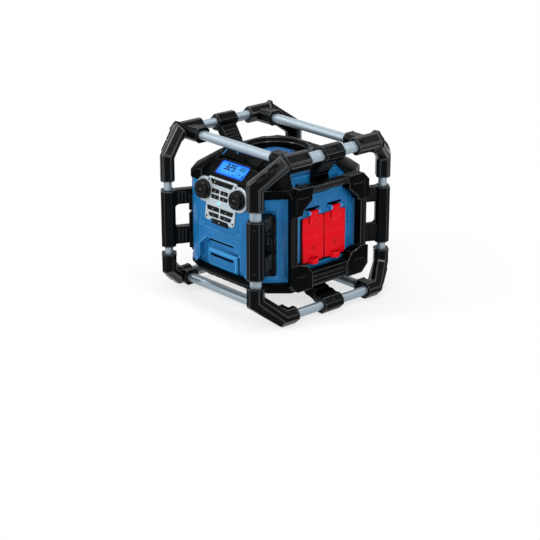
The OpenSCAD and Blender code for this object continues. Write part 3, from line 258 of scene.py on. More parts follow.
def soften(node, width, finishes, body="root", least=0.0):
    """A copy of a CAD node with its edges rounded. The last of two finishes, lighter as a painted highlight,
    goes on the rounds.
    """
    bm = bmesh.new()
    bm.from_mesh(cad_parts[node].data)
    bmesh.ops.remove_doubles(bm, verts=bm.verts[:], dist=MERGE)
    weigh(bm, width, least)
    mesh = bpy.data.meshes.new("soft_" + node)
    bm.to_mesh(mesh)
    bm.free()
    mesh.materials.clear()
    for p in mesh.polygons:
        p.use_smooth = True
        p.material_index = 0
    ob = add_piece("soft_" + node, mesh, finishes, body, (node,))
    round_edges(ob, width, len(finishes) - 1 if len(finishes) > 1 else -1)


# %% Soften the cage and the body
# the second finish of each pair is lighter and goes on the rounds: a painted highlight
for corner in ("fr", "fl", "rr", "rl"):
    soften("corner_bracket_" + corner, 3.2 * MM, [CAGE, CAGE_EDGE_PAINTED_HIGHLIGHT], least=7 * MM)
for side in ("right", "left"):
    soften("top_clamp_" + side, 2.2 * MM, [CAGE, CAGE_EDGE_PAINTED_HIGHLIGHT])
    soften("bottom_clamp_" + side, 2.2 * MM, [CAGE, CAGE_EDGE_PAINTED_HIGHLIGHT])
    soften("side_guard_" + side, 2.4 * MM, [GUARD, GUARD_EDGE_PAINTED_HIGHLIGHT])
soften("main_housing", 1.8 * MM, [BLUE, BLUE_EDGE_PAINTED_HIGHLIGHT])
soften("base_skid", 2.6 * MM, [SHELL])
soften("top_shell", 2.4 * MM, [SHELL, SHELL_EDGE_PAINTED_HIGHLIGHT])
soften("control_plate", 0.8 * MM, [SILVER])
soften("socket_module", 0.8 * MM, [SOCKET])
soften("rear_panel", 0.8 * MM, [SHELL, SHELL_EDGE_PAINTED_HIGHLIGHT])

# %% Soften what moves
# the second finish of each pair is lighter and goes on the rounds: a painted highlight
soften("media_door", 0.8 * MM, [SHELL, SHELL_EDGE_PAINTED_HIGHLIGHT], body="media_door")
soften("battery_door", 1.0 * MM, [BLUE, BLUE_EDGE_PAINTED_HIGHLIGHT], body="battery_door")
for knob in ("knob_left", "knob_right"):
    soften(knob, 0.8 * MM, [KNOB, SHELL_EDGE_PAINTED_HIGHLIGHT], body=knob)
for flap in ("flap_front", "flap_rear"):
    soften(flap, 1.2 * MM, [RED, RED_EDGE_PAINTED_HIGHLIGHT], body=flap)
for key in [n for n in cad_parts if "key" in n]:
    soften(key, 0.6 * MM, [KEY, SHELL_EDGE_PAINTED_HIGHLIGHT], body=key)

# %% [markdown]
# Small, round or hidden solids need no softer edge. They keep their own shape and only get a finish.

# %% Finishes on the solids that keep their own shape
def dress(node, look):
    """Gives a CAD node one finish."""
    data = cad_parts[node].data
    data.materials.clear()
    data.materials.append(look)


dress("cage_screws", STEEL)
dress("hinge_pins", STEEL)
# the dome's darker blue is painted shade of the ring round it
dress("speaker_dome", DOME_BLUE_PAINTED_SHADE)
dress("battery_latch", KEY)
dress("display_module", DARK)
dress("speaker_drivers", DRIVER)
dress("electronics", BOARD)
print("solids dressed")

# %% [markdown]
# ## Faces and small forms
# The controls lie on leaning faces. A matrix for each face gives a plane with x across, y up and
# z out of it, so every small part is drawn flat and then set in place. Three forms cover nearly
# all of them: a plate with rounded corners and a soft edge, a turned form, and a three-sided mark.

# %% Planes
def leaning(x, y, z, lean):
    """A plane through a point, tipped about the x axis by so many degrees."""
    return Matrix.Translation(Vector((x, y, z)) * MM) @ Matrix.Rotation(math.radians(lean), 4, "X")


def shifted(m, x, y, z=0.0, turn=0.0):
    """A plane moved within itself, and turned about its own z axis."""
    return m @ Matrix.Translation(Vector((x, y, z)) * MM) @ Matrix.Rotation(math.radians(turn), 4, "Z")


PANEL_LEAN = 6.3
# the right side as one who faces it sees it: across is +Y, up is +Z and out is +X
SIDE = Matrix(((0, 0, 1, 0), (1, 0, 0, 0), (0, 1, 0, 0), (0, 0, 0, 1)))
PANEL = leaning(0, -158, 264.5, 90 - PANEL_LEAN)
DISPLAY = leaning(0, -128, 314, 41)
LID = leaning(0, -107, 333, 33)
print("panel leans", PANEL_LEAN, "degrees")


# %% Helpers for outlines
def run_section(bm, edges, places):
    """Extrudes a ring of edges from place to place."""
    ring = list({v for e in edges for v in e.verts})
    bmesh.ops.transform(bm, matrix=places[0], verts=ring)
    for here, there in zip(places, places[1:]):
        made = bmesh.ops.extrude_edge_only(bm, edges=edges)["geom"]
        ring = [g for g in made if isinstance(g, bmesh.types.BMVert)]
        new = set(ring)
        edges = [g for g in made if isinstance(g, bmesh.types.BMEdge) and new.issuperset(g.verts)]
        bmesh.ops.transform(bm, matrix=there @ here.inverted(), verts=ring)
    return edges


def outline(bm, wide, tall, radius, steps):
    """The edges of a flat rectangle whose corners are rounded, or cut with one step."""
    edges_before, faces_before = set(bm.edges), set(bm.faces)
    size = Matrix.Diagonal((wide * MM, tall * MM, 1, 1))
    grid = bmesh.ops.create_grid(bm, x_segments=1, y_segments=1, size=0.5, matrix=size)
    bmesh.ops.bevel(bm, geom=grid["verts"], offset=radius * MM, segments=steps, profile=0.5,
                    affect="VERTICES", material=-1)
    bmesh.ops.delete(bm, geom=[f for f in bm.faces if f not in faces_before], context="FACES_ONLY")
    return [e for e in bm.edges if e not in edges_before]


# %% Helper for plates
def raised(bm, m, wide, tall, radius, low, high, soft=0.2, steps=5, paint=0, rim=None):
    """A plate with rounded corners and a soft upper edge, from low to high off a face."""
    faces_before = set(bm.faces)
    ring = outline(bm, wide, tall, radius, steps)
    shoulder = high - soft

    def at(z, less=0.0):
        shrink = Matrix.Diagonal(((wide - 2 * less) / wide, (tall - 2 * less) / tall, 1, 1))
        return m @ Matrix.Translation((0, 0, z * MM)) @ shrink

    last = run_section(bm, ring, [at(low), at(shoulder), at(high - 0.3 * soft, 0.3 * soft), at(high, soft)])
    bmesh.ops.holes_fill(bm, edges=last, sides=0)
    bmesh.ops.holes_fill(bm, edges=ring, sides=0)
    # a named rim finish goes on the soft upper edge; in this script it is always a lighter edge finish, a
    # painted highlight
    out = m.col[2].xyz
    rim_from = (m @ Vector((0, 0, shoulder * MM))).dot(out)
    for f in set(bm.faces) - faces_before:
        at_rim = len(f.verts) < len(ring) and f.calc_center_median().dot(out) > rim_from
        f.material_index = rim if rim is not None and at_rim else paint


# %% Helpers for turned forms and wedges
FULL = 360


def turned(bm, m, profile, steps=32, sweep=FULL, paint=0):
    """A turned form: points of radius and height spun round the z axis of a face."""
    verts_before, faces_before = set(bm.verts), set(bm.faces)
    line = [bm.verts.new((r * MM, 0, z * MM)) for r, z in profile]
    edges = [bm.edges.new(pair) for pair in zip(line, line[1:])]
    bmesh.ops.spin(bm, geom=line + edges, cent=(0, 0, 0), axis=(0, 0, 1), angle=math.radians(sweep),
                   steps=steps, use_merge=sweep == FULL)
    bmesh.ops.remove_doubles(bm, verts=[v for v in bm.verts if v not in verts_before], dist=1e-7)
    bmesh.ops.transform(bm, matrix=m, verts=[v for v in bm.verts if v not in verts_before])
    for f in set(bm.faces) - faces_before:
        f.material_index = paint


def band(outer, inner, low, high):
    """The profile of a thin flat ring."""
    return [(outer, low), (outer, high), (inner, high), (inner, low)]


def wedge(bm, m, radius, high, turn=0):
    """A three-sided mark whose point looks up the face."""
    bmesh.ops.create_cone(bm, cap_ends=True, segments=3, radius1=radius * MM, radius2=0.85 * radius * MM,
                          depth=high * MM, matrix=shifted(m, 0, 0, high / 2, turn))


# %% [markdown]
# ## Display
# The pane glows: sky blue in the middle and deeper towards its rim, by the distance to the rim on
# the display's own plane. A picture could carry that glow, but a few vector steps do it at any size.

# %% Glow of the pane
PANE_WIDE, PANE_TALL, PANE_RIM = 91.6, 35.6, 7.0
SCREEN = finish("screen_glow", linear(10, 36, 110), 0.3, bump=0.01, vary=0.03, spread=0.04, shine=0.02)
tree = SCREEN.node_tree
spot = tree.nodes.new("ShaderNodeTexCoord")
flat = tree.nodes.new("ShaderNodeMapping")
flat.inputs["Location"].default_value = DISPLAY.inverted().to_translation()
flat.inputs["Rotation"].default_value = DISPLAY.inverted().to_euler()
tree.links.new(spot.outputs["Object"], flat.inputs["Vector"])
core = ((PANE_WIDE / 2 - PANE_RIM) * MM, (PANE_TALL / 2 - PANE_RIM) * MM, 0)
per_rim = (1 / PANE_RIM / MM, 1 / PANE_RIM / MM, 0)
to_rim = flat.outputs["Vector"]
for operation, value in (("ABSOLUTE", None), ("SUBTRACT", core), ("MAXIMUM", (0, 0, 0)),
                         ("MULTIPLY", per_rim), ("LENGTH", None)):
    step = tree.nodes.new("ShaderNodeVectorMath")
    step.operation = operation
    tree.links.new(to_rim, step.inputs[0])
    if value:
        step.inputs[1].default_value = value
    to_rim = step.outputs["Value"] if operation == "LENGTH" else step.outputs["Vector"]
glow_ramp = tree.nodes.new("ShaderNodeValToRGB")
glow_ramp.color_ramp.elements[0].position = 0.2
glow_ramp.color_ramp.elements[0].color = linear(62, 168, 252)
glow_ramp.color_ramp.elements[1].position = 0.92
glow_ramp.color_ramp.elements[1].color = linear(20, 72, 218)
glow_ramp.color_ramp.elements.new(0.62).color = linear(40, 132, 246)
tree.links.new(to_rim, glow_ramp.inputs["Fac"])
shader = tree.nodes["Principled BSDF"]
tree.links.new(glow_ramp.outputs["Color"], shader.inputs["Emission Color"])
shader.inputs["Emission Strength"].default_value = 0.95
print("glow deepens over", PANE_RIM, "mm")

# %% Back-lit pane
PANE_TOP = -0.62
bm = bmesh.new()
raised(bm, DISPLAY, PANE_WIDE, PANE_TALL, radius=3.6, low=-2.2, high=PANE_TOP, soft=0.4)
from_bmesh("display_pane", bm, [SCREEN], stands_for=["display_window"])
print("pane made")

# %% [markdown]
# The figures are seven-part ones that lean, as on any such display. Their strokes are thin plates
# that overlap at the corners, so a figure reads as one shape from far off.

# %% Helpers for figures
INK_LOW, INK_HIGH = -0.64, -0.5
# of each stroke: its place across and up, in halves of the figure's size, and its turn
STROKES = {"a": (0, 1, 0), "g": (0, 0, 0), "d": (0, -1, 0), "f": (-1, 0.5, 90), "b": (1, 0.5, 90),
           "e": (-1, -0.5, 90), "c": (1, -0.5, 90)}
FIGURES = {"0": "abcdef", "1": "bc", "2": "abged", "3": "abgcd", "5": "afgcd"}


def ink(bm, m, wide, tall, radius, steps=5):
    """A thin dark plate just above the pane."""
    raised(bm, m, wide, tall, radius, INK_LOW, INK_HIGH, soft=0.04, steps=steps)


def figures(bm, digits, x, y, wide, tall, pitch, stroke, lean=12):
    """Seven-part figures from a first middle on, leaning to the right."""
    slant = Matrix.Identity(4)
    slant[0][1] = math.tan(math.radians(lean))
    for i, digit in enumerate(digits):
        m = shifted(DISPLAY, x + i * pitch, y) @ slant
        for part in FIGURES[digit]:
            across, up, turn = STROKES[part]
            long = (tall / 2 if turn else wide) + 0.5 * stroke
            middle = shifted(m, across * wide / 2, up * tall / 2, 0, turn)
            ink(bm, middle, long, stroke, 0.3 * stroke, steps=1)


# %% Figures and signs on the pane
bm = bmesh.new()
figures(bm, "325", -22.4, 4.7, wide=6.8, tall=13.6, pitch=12.0, stroke=3.1)
figures(bm, "102", 18.0, 8.0, wide=4.2, tall=7.8, pitch=7.9, stroke=1.8)
for turn in (0, 60, 120):
    ink(bm, shifted(DISPLAY, -36, -10.4, 0, turn), 4.6, 1.0, 0.3)
ink(bm, shifted(DISPLAY, 10, -12.5), 5.0, 1.8, 0.8)
ink(bm, shifted(DISPLAY, 28, -7.4), 5.6, 1.4, 0.3)
wedge(bm, shifted(DISPLAY, 28, -4.8, INK_LOW), 2.2, INK_HIGH - INK_LOW)
ink(bm, shifted(DISPLAY, 39.5, -9.9, 0, -8), 3.6, 8.0, 0.5)
ink(bm, shifted(DISPLAY, 39.9, -5.2, 0, -8), 1.6, 1.2, 0.2)
from_bmesh("display_figures", bm, [INK])
print("figures made")

# %% [markdown]
# ## Marks on the controls
# Each key carries a small pale sign that moves with it: wedges for up and down, a power sign on
# the top bar. A cyan lamp sits in the plate's round hole, and four dark screws hold the plate.

# %% Signs on the keys
KEY_TOP, SIGN_THICK = 4.92, 0.12
LOWER_KEY_LINES = {"lower_key_left": (-20.6, -52, 9), "lower_key_right": (20.9, -52, 12)}
# of each wedge: its place on the panel, across and up, and its turn
KEY_WEDGES = {"preset_key_1": (-20, 3.2, 0), "preset_key_2": (10, 3.2, 0), "preset_key_3": (-20, -10.4, 0),
              "preset_key_4": (9.4, -10.4, 180), "function_key_left": (-23.5, -38, 90),
              "function_key_right": (20.5, -38, -90), "enter_key": (0, -65.4, -90)}


def key_line(bm, x, y, wide, tall, radius, thick=SIGN_THICK):
    """A straight stroke on top of the keys."""
    raised(bm, shifted(PANEL, x, y), wide, tall, radius, KEY_TOP, KEY_TOP + thick, soft=0.03)


for key, (x, y, turn) in KEY_WEDGES.items():
    bm = bmesh.new()
    wedge(bm, shifted(PANEL, x, y, KEY_TOP), 1.7 if key.startswith("preset") else 2.1, SIGN_THICK, turn)
    if key == "enter_key":
        key_line(bm, 2.6, -65.4, 0.8, 3.4, 0.2)
    from_bmesh("sign_" + key, bm, [MARK], body=key)
bm = bmesh.new()
power_ring = band(2.3, 1.6, KEY_TOP, KEY_TOP + SIGN_THICK)
turned(bm, shifted(PANEL, -23, 23, 0, 120), power_ring, steps=24, sweep=300)
key_line(bm, -23, 24.6, 0.7, 2.6, 0.2)
from_bmesh("sign_power_key", bm, [MARK], body="power_key")
for key, (x, y, wide) in LOWER_KEY_LINES.items():
    bm = bmesh.new()
    key_line(bm, x, y, wide, 1.0, 0.3, thick=0.1)
    from_bmesh("sign_" + key, bm, [MARK_DIM], body=key)
print("key signs made")

# %% Knob faces
KNOB_X, KNOB_TOP = 58, 16.9
for knob, s in (("knob_left", -1), ("knob_right", 1)):
    bm = bmesh.new()
    raised(bm, shifted(PANEL, KNOB_X * s, 0), 9.0, 1.5, 0.4, KNOB_TOP, KNOB_TOP + SIGN_THICK, soft=0.03)
    from_bmesh("sign_" + knob, bm, [MARK_DIM], body=knob)
print("knob faces made")

# %% Lamp and plate screws
LAMP = finish("lamp_cyan", linear(40, 170, 240), 0.2, vary=0.02)
lamp_shader = LAMP.node_tree.nodes["Principled BSDF"]
lamp_shader.inputs["Emission Color"].default_value = linear(70, 205, 255)
lamp_shader.inputs["Emission Strength"].default_value = 3.0
LAMP_DOME = [(2.9, 2.3), (2.9, 3.6), (2.6, 4.3), (1.9, 4.8), (1.0, 5.05), (0, 5.1)]
bm = bmesh.new()
turned(bm, shifted(PANEL, -6, -22), LAMP_DOME)
from_bmesh("plate_lamp", bm, [LAMP])

SCREW_HEAD = [(2.6, 1.5), (2.6, 2.6), (2.3, 2.95), (1.7, 3.05), (1.3, 3.0), (1.3, 2.2), (0, 2.2)]
bm = bmesh.new()
for x, y in ((-45.5, 25), (45.5, 25), (-44, -58.5), (44, -58.5)):
    # no two screws stop at the same turn, so the turn goes by the place
    turned(bm, shifted(PANEL, x, y, 0, 17 * x), SCREW_HEAD, steps=24)
from_bmesh("plate_screws", bm, [STEEL])
print("marks made")

# %% [markdown]
# ## Flap signs
# Each socket flap bears a small ring with a plug in it. It is drawn as thin dark line work that
# lies on the flap and opens with it.

# %% Plug signs on the flaps
FLAP_Y, FLAP_SIGN_Z, FLAP_FACE = 33, 152, 161.5
SIGN_LOW, SIGN_HIGH = FLAP_FACE - 0.1, FLAP_FACE + SIGN_THICK
# of each stroke of the plug: its middle, width and height
PLUG = ((-1.0, 2.4, 0.7, 2.4), (1.0, 2.4, 0.7, 2.4), (0, 0.4, 4.4, 1.8), (0, -1.2, 2.6, 1.8),
        (0, -3.2, 0.8, 2.6))
for flap, y in (("flap_front", -FLAP_Y), ("flap_rear", FLAP_Y)):
    bm = bmesh.new()
    m = shifted(SIDE, y, FLAP_SIGN_Z)
    turned(bm, m, band(6.9, 6.3, SIGN_LOW, SIGN_HIGH), steps=48)
    for x, z, wide, tall in PLUG:
        raised(bm, shifted(m, x, z), wide, tall, 0.3, SIGN_LOW, SIGN_HIGH, soft=0.03)
    from_bmesh("sign_" + flap, bm, [RED_MARK], body=flap)
print("flap signs made")

# %% [markdown]
# ## Details of the blue body
# The bass port is a raised face with broad soft edges, whose lighter edge blue is a painted
# highlight, and a mouth below a slot. Cutting these into the housing would need another solid, so
# thin near-black plates on its front stand for them: painted shade of the openings.

# %% Port and slots
def front(x, z, y):
    """An upright plane that looks to the front."""
    return leaning(x, y, z, 90)


PORT_Y, PORT_HIGH, SLOT_TALL = -158, 3.6, 5.6
PORT = front(0, 108.5, PORT_Y)
PORT_MOUTH_PAINTED_SHADE = front(0, 116, PORT_Y - PORT_HIGH)
UPPER_SLOT_PAINTED_SHADE = front(-4.5, 146.5, PORT_Y + 6)
bm = bmesh.new()
# the port's soft edge takes the lighter edge blue: a painted highlight
raised(bm, PORT, 99, 39, radius=2.5, low=-1.8, high=PORT_HIGH, soft=5.2, steps=2, rim=1)
# the mouth and the slot are near-black plates: painted shade for openings that are not cut
raised(bm, PORT_MOUTH_PAINTED_SHADE, 77, SLOT_TALL, radius=1.2, low=-0.2, high=0.14, soft=0.1, steps=2, paint=2)
raised(bm, UPPER_SLOT_PAINTED_SHADE, 98, SLOT_TALL, radius=1.0, low=-0.4, high=0.9, steps=2, paint=2)
from_bmesh("port_face", bm, [BLUE, BLUE_EDGE_PAINTED_HIGHLIGHT, DARK])
print("port made")

# %% [markdown]
# Two lines and two screws mark each blue slope between a side and the top shell. They are drawn
# for the right side on the slope's own plane and mirrored for the left.

# %% Lines and screws on the slopes
SLOPE_FOOT, SLOPE_HEAD = Vector((152, 0, 277)), Vector((120, 0, 318))
up = (SLOPE_HEAD - SLOPE_FOOT).normalized()
out = Vector((up.z, 0, -up.x))
SLOPE = Matrix((Vector((0, 1, 0)), up, out)).transposed().to_4x4()
SLOPE.translation = SLOPE_FOOT * MM
SLOPE_SCREW = [(3.6, -0.2), (3.5, 0.2), (3.2, 0.3), (2.9, 0.1), (0, 0.1)]
for side, s in (("right", 1), ("left", -1)):
    bm = bmesh.new()
    for high, wide, tall in ((45.5, 138, 1.3), (37.5, 148, 0.7)):
        raised(bm, shifted(SLOPE, 0, high), wide, tall, radius=0.3, low=-0.3, high=0.16, soft=0.05, steps=2)
    for y in (-63, 22):
        turned(bm, shifted(SLOPE, y, 24), SLOPE_SCREW, steps=24, paint=1)
    bmesh.ops.scale(bm, vec=(s, 1, 1), verts=bm.verts[:])
    from_bmesh("slope_lines_" + side, bm, [BLUE_LINE, DARK])
print("slope lines made")

# %% [markdown]
# Blue lugs carry the flaps, over a near-black plate that is painted shade for the gap behind them;
# the lugs have the lighter trim blue, a painted highlight. A blue line and a button mark the lid.
# They move with the lid, so they ride on the lid's body.

# %% Lugs over the flaps
HINGE_X, HINGE_Z, LUG_FROM_MIDDLE = 162, 235, 15.3
LUG = [(2.1, -3.15), (4.7, -3.15), (5.25, -2.6), (5.25, 2.6), (4.7, 3.15), (2.1, 3.15)]
bm = bmesh.new()
for y in (-FLAP_Y, FLAP_Y):
    # the near-black plate behind the lugs is painted shade for the gap round the flaps
    raised(bm, shifted(SIDE, y, HINGE_Z + 3), 42, 15, radius=3, low=156, high=157.2, soft=0.3, paint=1)
    for s in (-1, 1):
        turned(bm, leaning(HINGE_X, y + LUG_FROM_MIDDLE * s, HINGE_Z, 90), LUG, steps=28)
# the lugs take the lighter trim blue: a painted highlight
from_bmesh("flap_lugs", bm, [TRIM_BLUE_AND_LUG_HIGHLIGHT, DARK])
print("lugs made")

# %% Trim of the lid and line above the display
LID_BUTTON = [(2.2, -0.2), (2.2, 0.4), (1.8, 0.7), (0, 0.8)]
bm = bmesh.new()
raised(bm, shifted(LID, -58.5, 9), 2.6, 16, radius=0.8, low=-0.3, high=0.8, soft=0.35)
turned(bm, shifted(LID, -22.9, 16.2), LID_BUTTON, steps=24)
from_bmesh("lid_trim", bm, [TRIM_BLUE_AND_LUG_HIGHLIGHT], body="media_door")
bm = bmesh.new()
raised(bm, shifted(DISPLAY, 2, 25.6, 0, 0.4), 116, 1.0, radius=0.3, low=-0.3, high=0.3, soft=0.1)
from_bmesh("bezel_line", bm, [BLUE])
print("body details made")

# %% [markdown]
# ## Elbows of the cage
# Each corner of the cage is a moulded elbow with three mouths. Its body is one chamfered section
# that turns sharply at two bends. The section is drawn once and extruded from place to place:
# at a bend it is slid along its own line onto the mitre plane, so all its faces meet there in
# one crease. A Bevel modifier then gives every crease its small round.

# %% Lines of the cage
# the middles of the tubes at the front right corner, then the way each tube's wide face looks
POST_X, POST_Y = 150, -193
RAIL_X, RAIL_Z = 179, 368
CROSS_Y, CROSS_Z = -111, 365
FOOT_X, FOOT_Z = 181, 19.1
FOOT_CROSS_Y = -127
UP = Vector((0, 0, 1))
POST_OUT = Vector((0.6137, -0.7896, 0))
RAIL_OUT = Vector((1, 0, 1)).normalized()
FOOT_OUT = Vector((1, 0, -1)).normalized()
CORNERS = {"fr": (1, 1), "fl": (-1, 1), "rr": (1, -1), "rl": (-1, -1)}
print("corners", len(CORNERS))

# %% Sections and mitres
WIDE, THICK = 19.0, 16.5
MOUTH, MOUTH_DEPTH = -6.2, 5


def place(at, along, out, wide=1.0, thick=1.0):
    """A matrix that puts a flat section at a point: it faces along, and its y side looks out."""
    z = along.normalized()
    x = out.cross(z).normalized()
    turn = Matrix((x, z.cross(x), z)).transposed().to_4x4()
    return Matrix.Translation(at) @ turn @ Matrix.Diagonal((wide, thick, 1, 1))


def grown(at, along, out, grow):
    """The elbow's section at a point, made larger or smaller all round."""
    return place(at, along, out, (WIDE + grow) / WIDE, (THICK + grow) / THICK)


def mitre(at, along, out, normal, grow=0.0):
    """A section at a point, slid along its line onto the plane with the given normal."""
    m = grown(at, along, out, grow)
    for k in (0, 1):
        side = m.col[k].to_3d()
        m.col[k] = (*(side - along * side.dot(normal) / along.dot(normal)), 0)
    m.col[2] = (*normal, 0)
    return m


# %% Helper for sleeves
COLLAR_HALF, COLLAR_GROW = 2.6, 1.1
LIP_LONG, LIP_END = 3.4, 3.8


def sleeve(bm, points, first_out, last_out, chamfer, collars=(), mouths=(True, True), lips=(0.0, 0.0)):
    """A sleeve along a line with sharp bends. A collar is a raised band round a bend."""
    points = [Vector(p) * MM for p in points]
    ways = [(b - a).normalized() for a, b in zip(points, points[1:])]
    start, end = (points[0], ways[0], first_out), (points[-1], ways[-1], last_out)

    def inside(spot, depth):
        return (spot[0] + spot[1] * depth * MM, *spot[1:])

    stops = []
    if mouths[0]:
        stops += [grown(*inside(start, MOUTH_DEPTH), MOUTH), grown(*start, MOUTH)]
    stops.append(grown(*start, lips[0]))
    if lips[0]:
        stops += [grown(*inside(start, LIP_LONG), lips[0]), grown(*inside(start, LIP_END), 0)]
    for i in range(1, len(points) - 1):
        normal = (ways[i - 1] + ways[i]).normalized()
        along, out = (ways[i - 1], first_out) if i < len(points) / 2 else (ways[i], last_out)
        if i in collars:
            before = points[i] - ways[i - 1] * COLLAR_HALF * MM
            after = points[i] + ways[i] * COLLAR_HALF * MM
            for at, grow in ((before, 0), (before, COLLAR_GROW), (after, COLLAR_GROW), (after, 0)):
                stops.append(mitre(at, along, out, normal, grow))
        else:
            stops.append(mitre(points[i], along, out, normal))
    if lips[1]:
        stops += [grown(*inside(end, -LIP_END), 0), grown(*inside(end, -LIP_LONG), lips[1])]
    stops.append(grown(*end, lips[1]))
    if mouths[1]:
        stops += [grown(*end, MOUTH), grown(*inside(end, -MOUTH_DEPTH), MOUTH)]
    run_section(bm, outline(bm, 2 * WIDE, 2 * THICK, chamfer, 1), stops)


# %% [markdown]
# The upper elbow has two raised pads on the outer half of its slanted face, a collar round its
# upper bend and a screw cup at each mouth. The lower one has a lip, two ridges and a screw cup at
# its post. A screw cup is a raised rim round a flat near-black disc, painted shade for the hole.
# Both are drawn for the front right corner and mirrored for the others.

# %% Helpers for pads and screw cups with painted shade
def between(points, first_out, last_out, f):
    """Centre, direction and outward look at a part of the way along the slanted middle."""
    p = [Vector(q) * MM for q in points]
    first, middle, last = [(b - a).normalized() for a, b in zip(p, p[1:])]
    from_first = first.rotation_difference(middle) @ first_out
    from_last = last.rotation_difference(middle) @ last_out
    return p[1].lerp(p[2], f), middle, from_first.lerp(from_last, f).normalized()


PAD_ROOT = 1.5
CUP_RIM = [(4.1, -0.2), (4.0, 0.12), (3.7, 0.2), (3.45, 0.16), (3.3, 0.02)]
CUP_PAINTED_SHADE = [(3.35, 0.07), (0, 0.07)]


def pad(bm, line, outs, f, across, wide, tall, radius, high, soft):
    """A raised plate on the outer face of the slanted middle, rooted a little below it."""
    at, along, out = between(line, *outs, f)
    m = place(at + out * THICK * MM, out, along) @ Matrix.Translation((across * MM, 0, 0))
    # the pad's soft edge takes the elbow's third finish, lighter than the black: a painted highlight
    raised(bm, m, wide, tall, radius, -PAD_ROOT, high, soft=soft, rim=2)


def screw_cup(bm, at, out, along):
    """The rim of a screw hole on the flat of a sleeve, and a flat dark disc in it that is painted shade."""
    m = place(Vector(at) * MM + out * THICK * MM, out, along)
    turned(bm, m, CUP_RIM)
    turned(bm, m, CUP_PAINTED_SHADE, paint=1)


def mirrored(bm, corner):
    """Turns the front right shape into that of another corner."""
    bmesh.ops.scale(bm, vec=(*CORNERS[corner], 1), verts=bm.verts[:])


ELBOW_ROUND = 3.4 * MM


def elbow_piece(name, bm, node):
    """Makes an elbow a piece that stands for its solid."""
    # the rounds take the third finish, lighter than the black: a painted highlight
    from_bmesh(name, bm, [CAGE, DARK, CAGE_EDGE_PAINTED_HIGHLIGHT], stands_for=[node], edges=ELBOW_ROUND,
               paint=2)


# %% Upper elbows
TOP_LINE = [(POST_X, POST_Y, 269), (POST_X, POST_Y, 323), (RAIL_X, -136, RAIL_Z), (RAIL_X, -71, RAIL_Z)]
TOP_BRANCH = [(122, CROSS_Y, CROSS_Z), (180, CROSS_Y, CROSS_Z)]
for corner in CORNERS:
    bm = bmesh.new()
    sleeve(bm, TOP_LINE, POST_OUT, RAIL_OUT, 6.6, collars=(2,))
    for f in (0.28, 0.7):
        pad(bm, TOP_LINE, (POST_OUT, RAIL_OUT), f, -5.6, wide=11, tall=26, radius=1.6, high=2.2, soft=1.0)
    sleeve(bm, TOP_BRANCH, UP, UP, 8, mouths=(True, False), lips=(1.2, 0))
    screw_cup(bm, (POST_X, POST_Y, 283), POST_OUT, UP)
    screw_cup(bm, (RAIL_X, -83, RAIL_Z), RAIL_OUT, Vector((0, 1, 0)))
    mirrored(bm, corner)
    elbow_piece("elbow_top_" + corner, bm, "top_elbow_" + corner)
print("upper elbows made")

# %% Lower elbows
LOW_LINE = [(POST_X, POST_Y, 96), (POST_X, POST_Y, 61), (FOOT_X, -142, FOOT_Z), (FOOT_X, -108, FOOT_Z)]
LOW_BRANCH = [(150, FOOT_CROSS_Y, FOOT_Z), (182, FOOT_CROSS_Y, FOOT_Z)]
FLOOR_GAP = 0.1
for corner in CORNERS:
    bm = bmesh.new()
    sleeve(bm, LOW_LINE, POST_OUT, FOOT_OUT, 8, lips=(0.8, 1.0))
    for across in (-9, 9):
        pad(bm, LOW_LINE, (POST_OUT, FOOT_OUT), 0.52, across, wide=2.8, tall=44, radius=0.9, high=1.2,
            soft=0.7)
    sleeve(bm, LOW_BRANCH, -UP, -UP, 8, mouths=(True, False), lips=(1.2, 0))
    screw_cup(bm, (POST_X, POST_Y, 82), POST_OUT, UP)
    mirrored(bm, corner)
    # a mouth's lip would dip just below the floor, so its points are held above
    for v in bm.verts:
        v.co.z = max(v.co.z, FLOOR_GAP * MM)
    low = min(v.co.z for v in bm.verts)
    elbow_piece("elbow_low_" + corner, bm, "bottom_elbow_" + corner)
    print("lower elbow", corner, "reaches", round(low / MM, 2), "mm")

# %% [markdown]
# ## Ribs of the top clamps
# Each top clamp has an arm that leans from the side tube to the shell, with four cross ribs on
# either face. The solid's own ribs lie below its surface, so soft plates are set on both faces.

# %% Ribs on the arms of the top clamps
RIBS, RIB_FIRST, RIB_PITCH = 4, 4, 8.2


def facing(x, z, up, out):
    """A plane through a point of the right clamp, from its up and out directions in x and z."""
    y, z_side = Vector((up[0], 0, up[1])).normalized(), Vector((out[0], 0, out[1])).normalized()
    m = Matrix((y.cross(z_side), y, z_side)).transposed().to_4x4()
    m.translation = Vector((x, 0, z)) * MM
    return m


ARM_INNER = facing(136.7, 327, (0.73, 1), (-1, 0.73))
ARM_OUTER = facing(156.2, 321, (0.75, 1), (1, -0.75))
for side, s in (("right", 1), ("left", -1)):
    bm = bmesh.new()
    for plane in (ARM_INNER, ARM_OUTER):
        for i in range(RIBS):
            m = shifted(plane, 0, RIB_FIRST + RIB_PITCH * i)
            # each rib's soft edge takes the lighter edge finish: a painted highlight
            raised(bm, m, 41, 4.4, radius=0.8, low=-0.8, high=2.0, soft=1.2, steps=2, rim=1)
    bmesh.ops.scale(bm, vec=(s, 1, 1), verts=bm.verts[:])
    from_bmesh("clamp_ribs_" + side, bm, [CAGE, CAGE_EDGE_PAINTED_HIGHLIGHT])
print("clamp ribs made")

# %% [markdown]
# ## Tubes
# The cage tubes are extruded aluminium: an oval with three grooves along each wide face. The
# grooves are part of the section, so they run the whole length, as they do from the die.

# %% Tube section
TUBE_WIDE, TUBE_THICK = 13.0, 9.5
GROOVE_PITCH, GROOVE_DEPTH, GROOVE_EDGE = 3.4, 0.7, 0.1
GROOVE = ((0.85, GROOVE_EDGE), (0.5, GROOVE_DEPTH), (-0.5, GROOVE_DEPTH), (-0.85, GROOVE_EDGE))


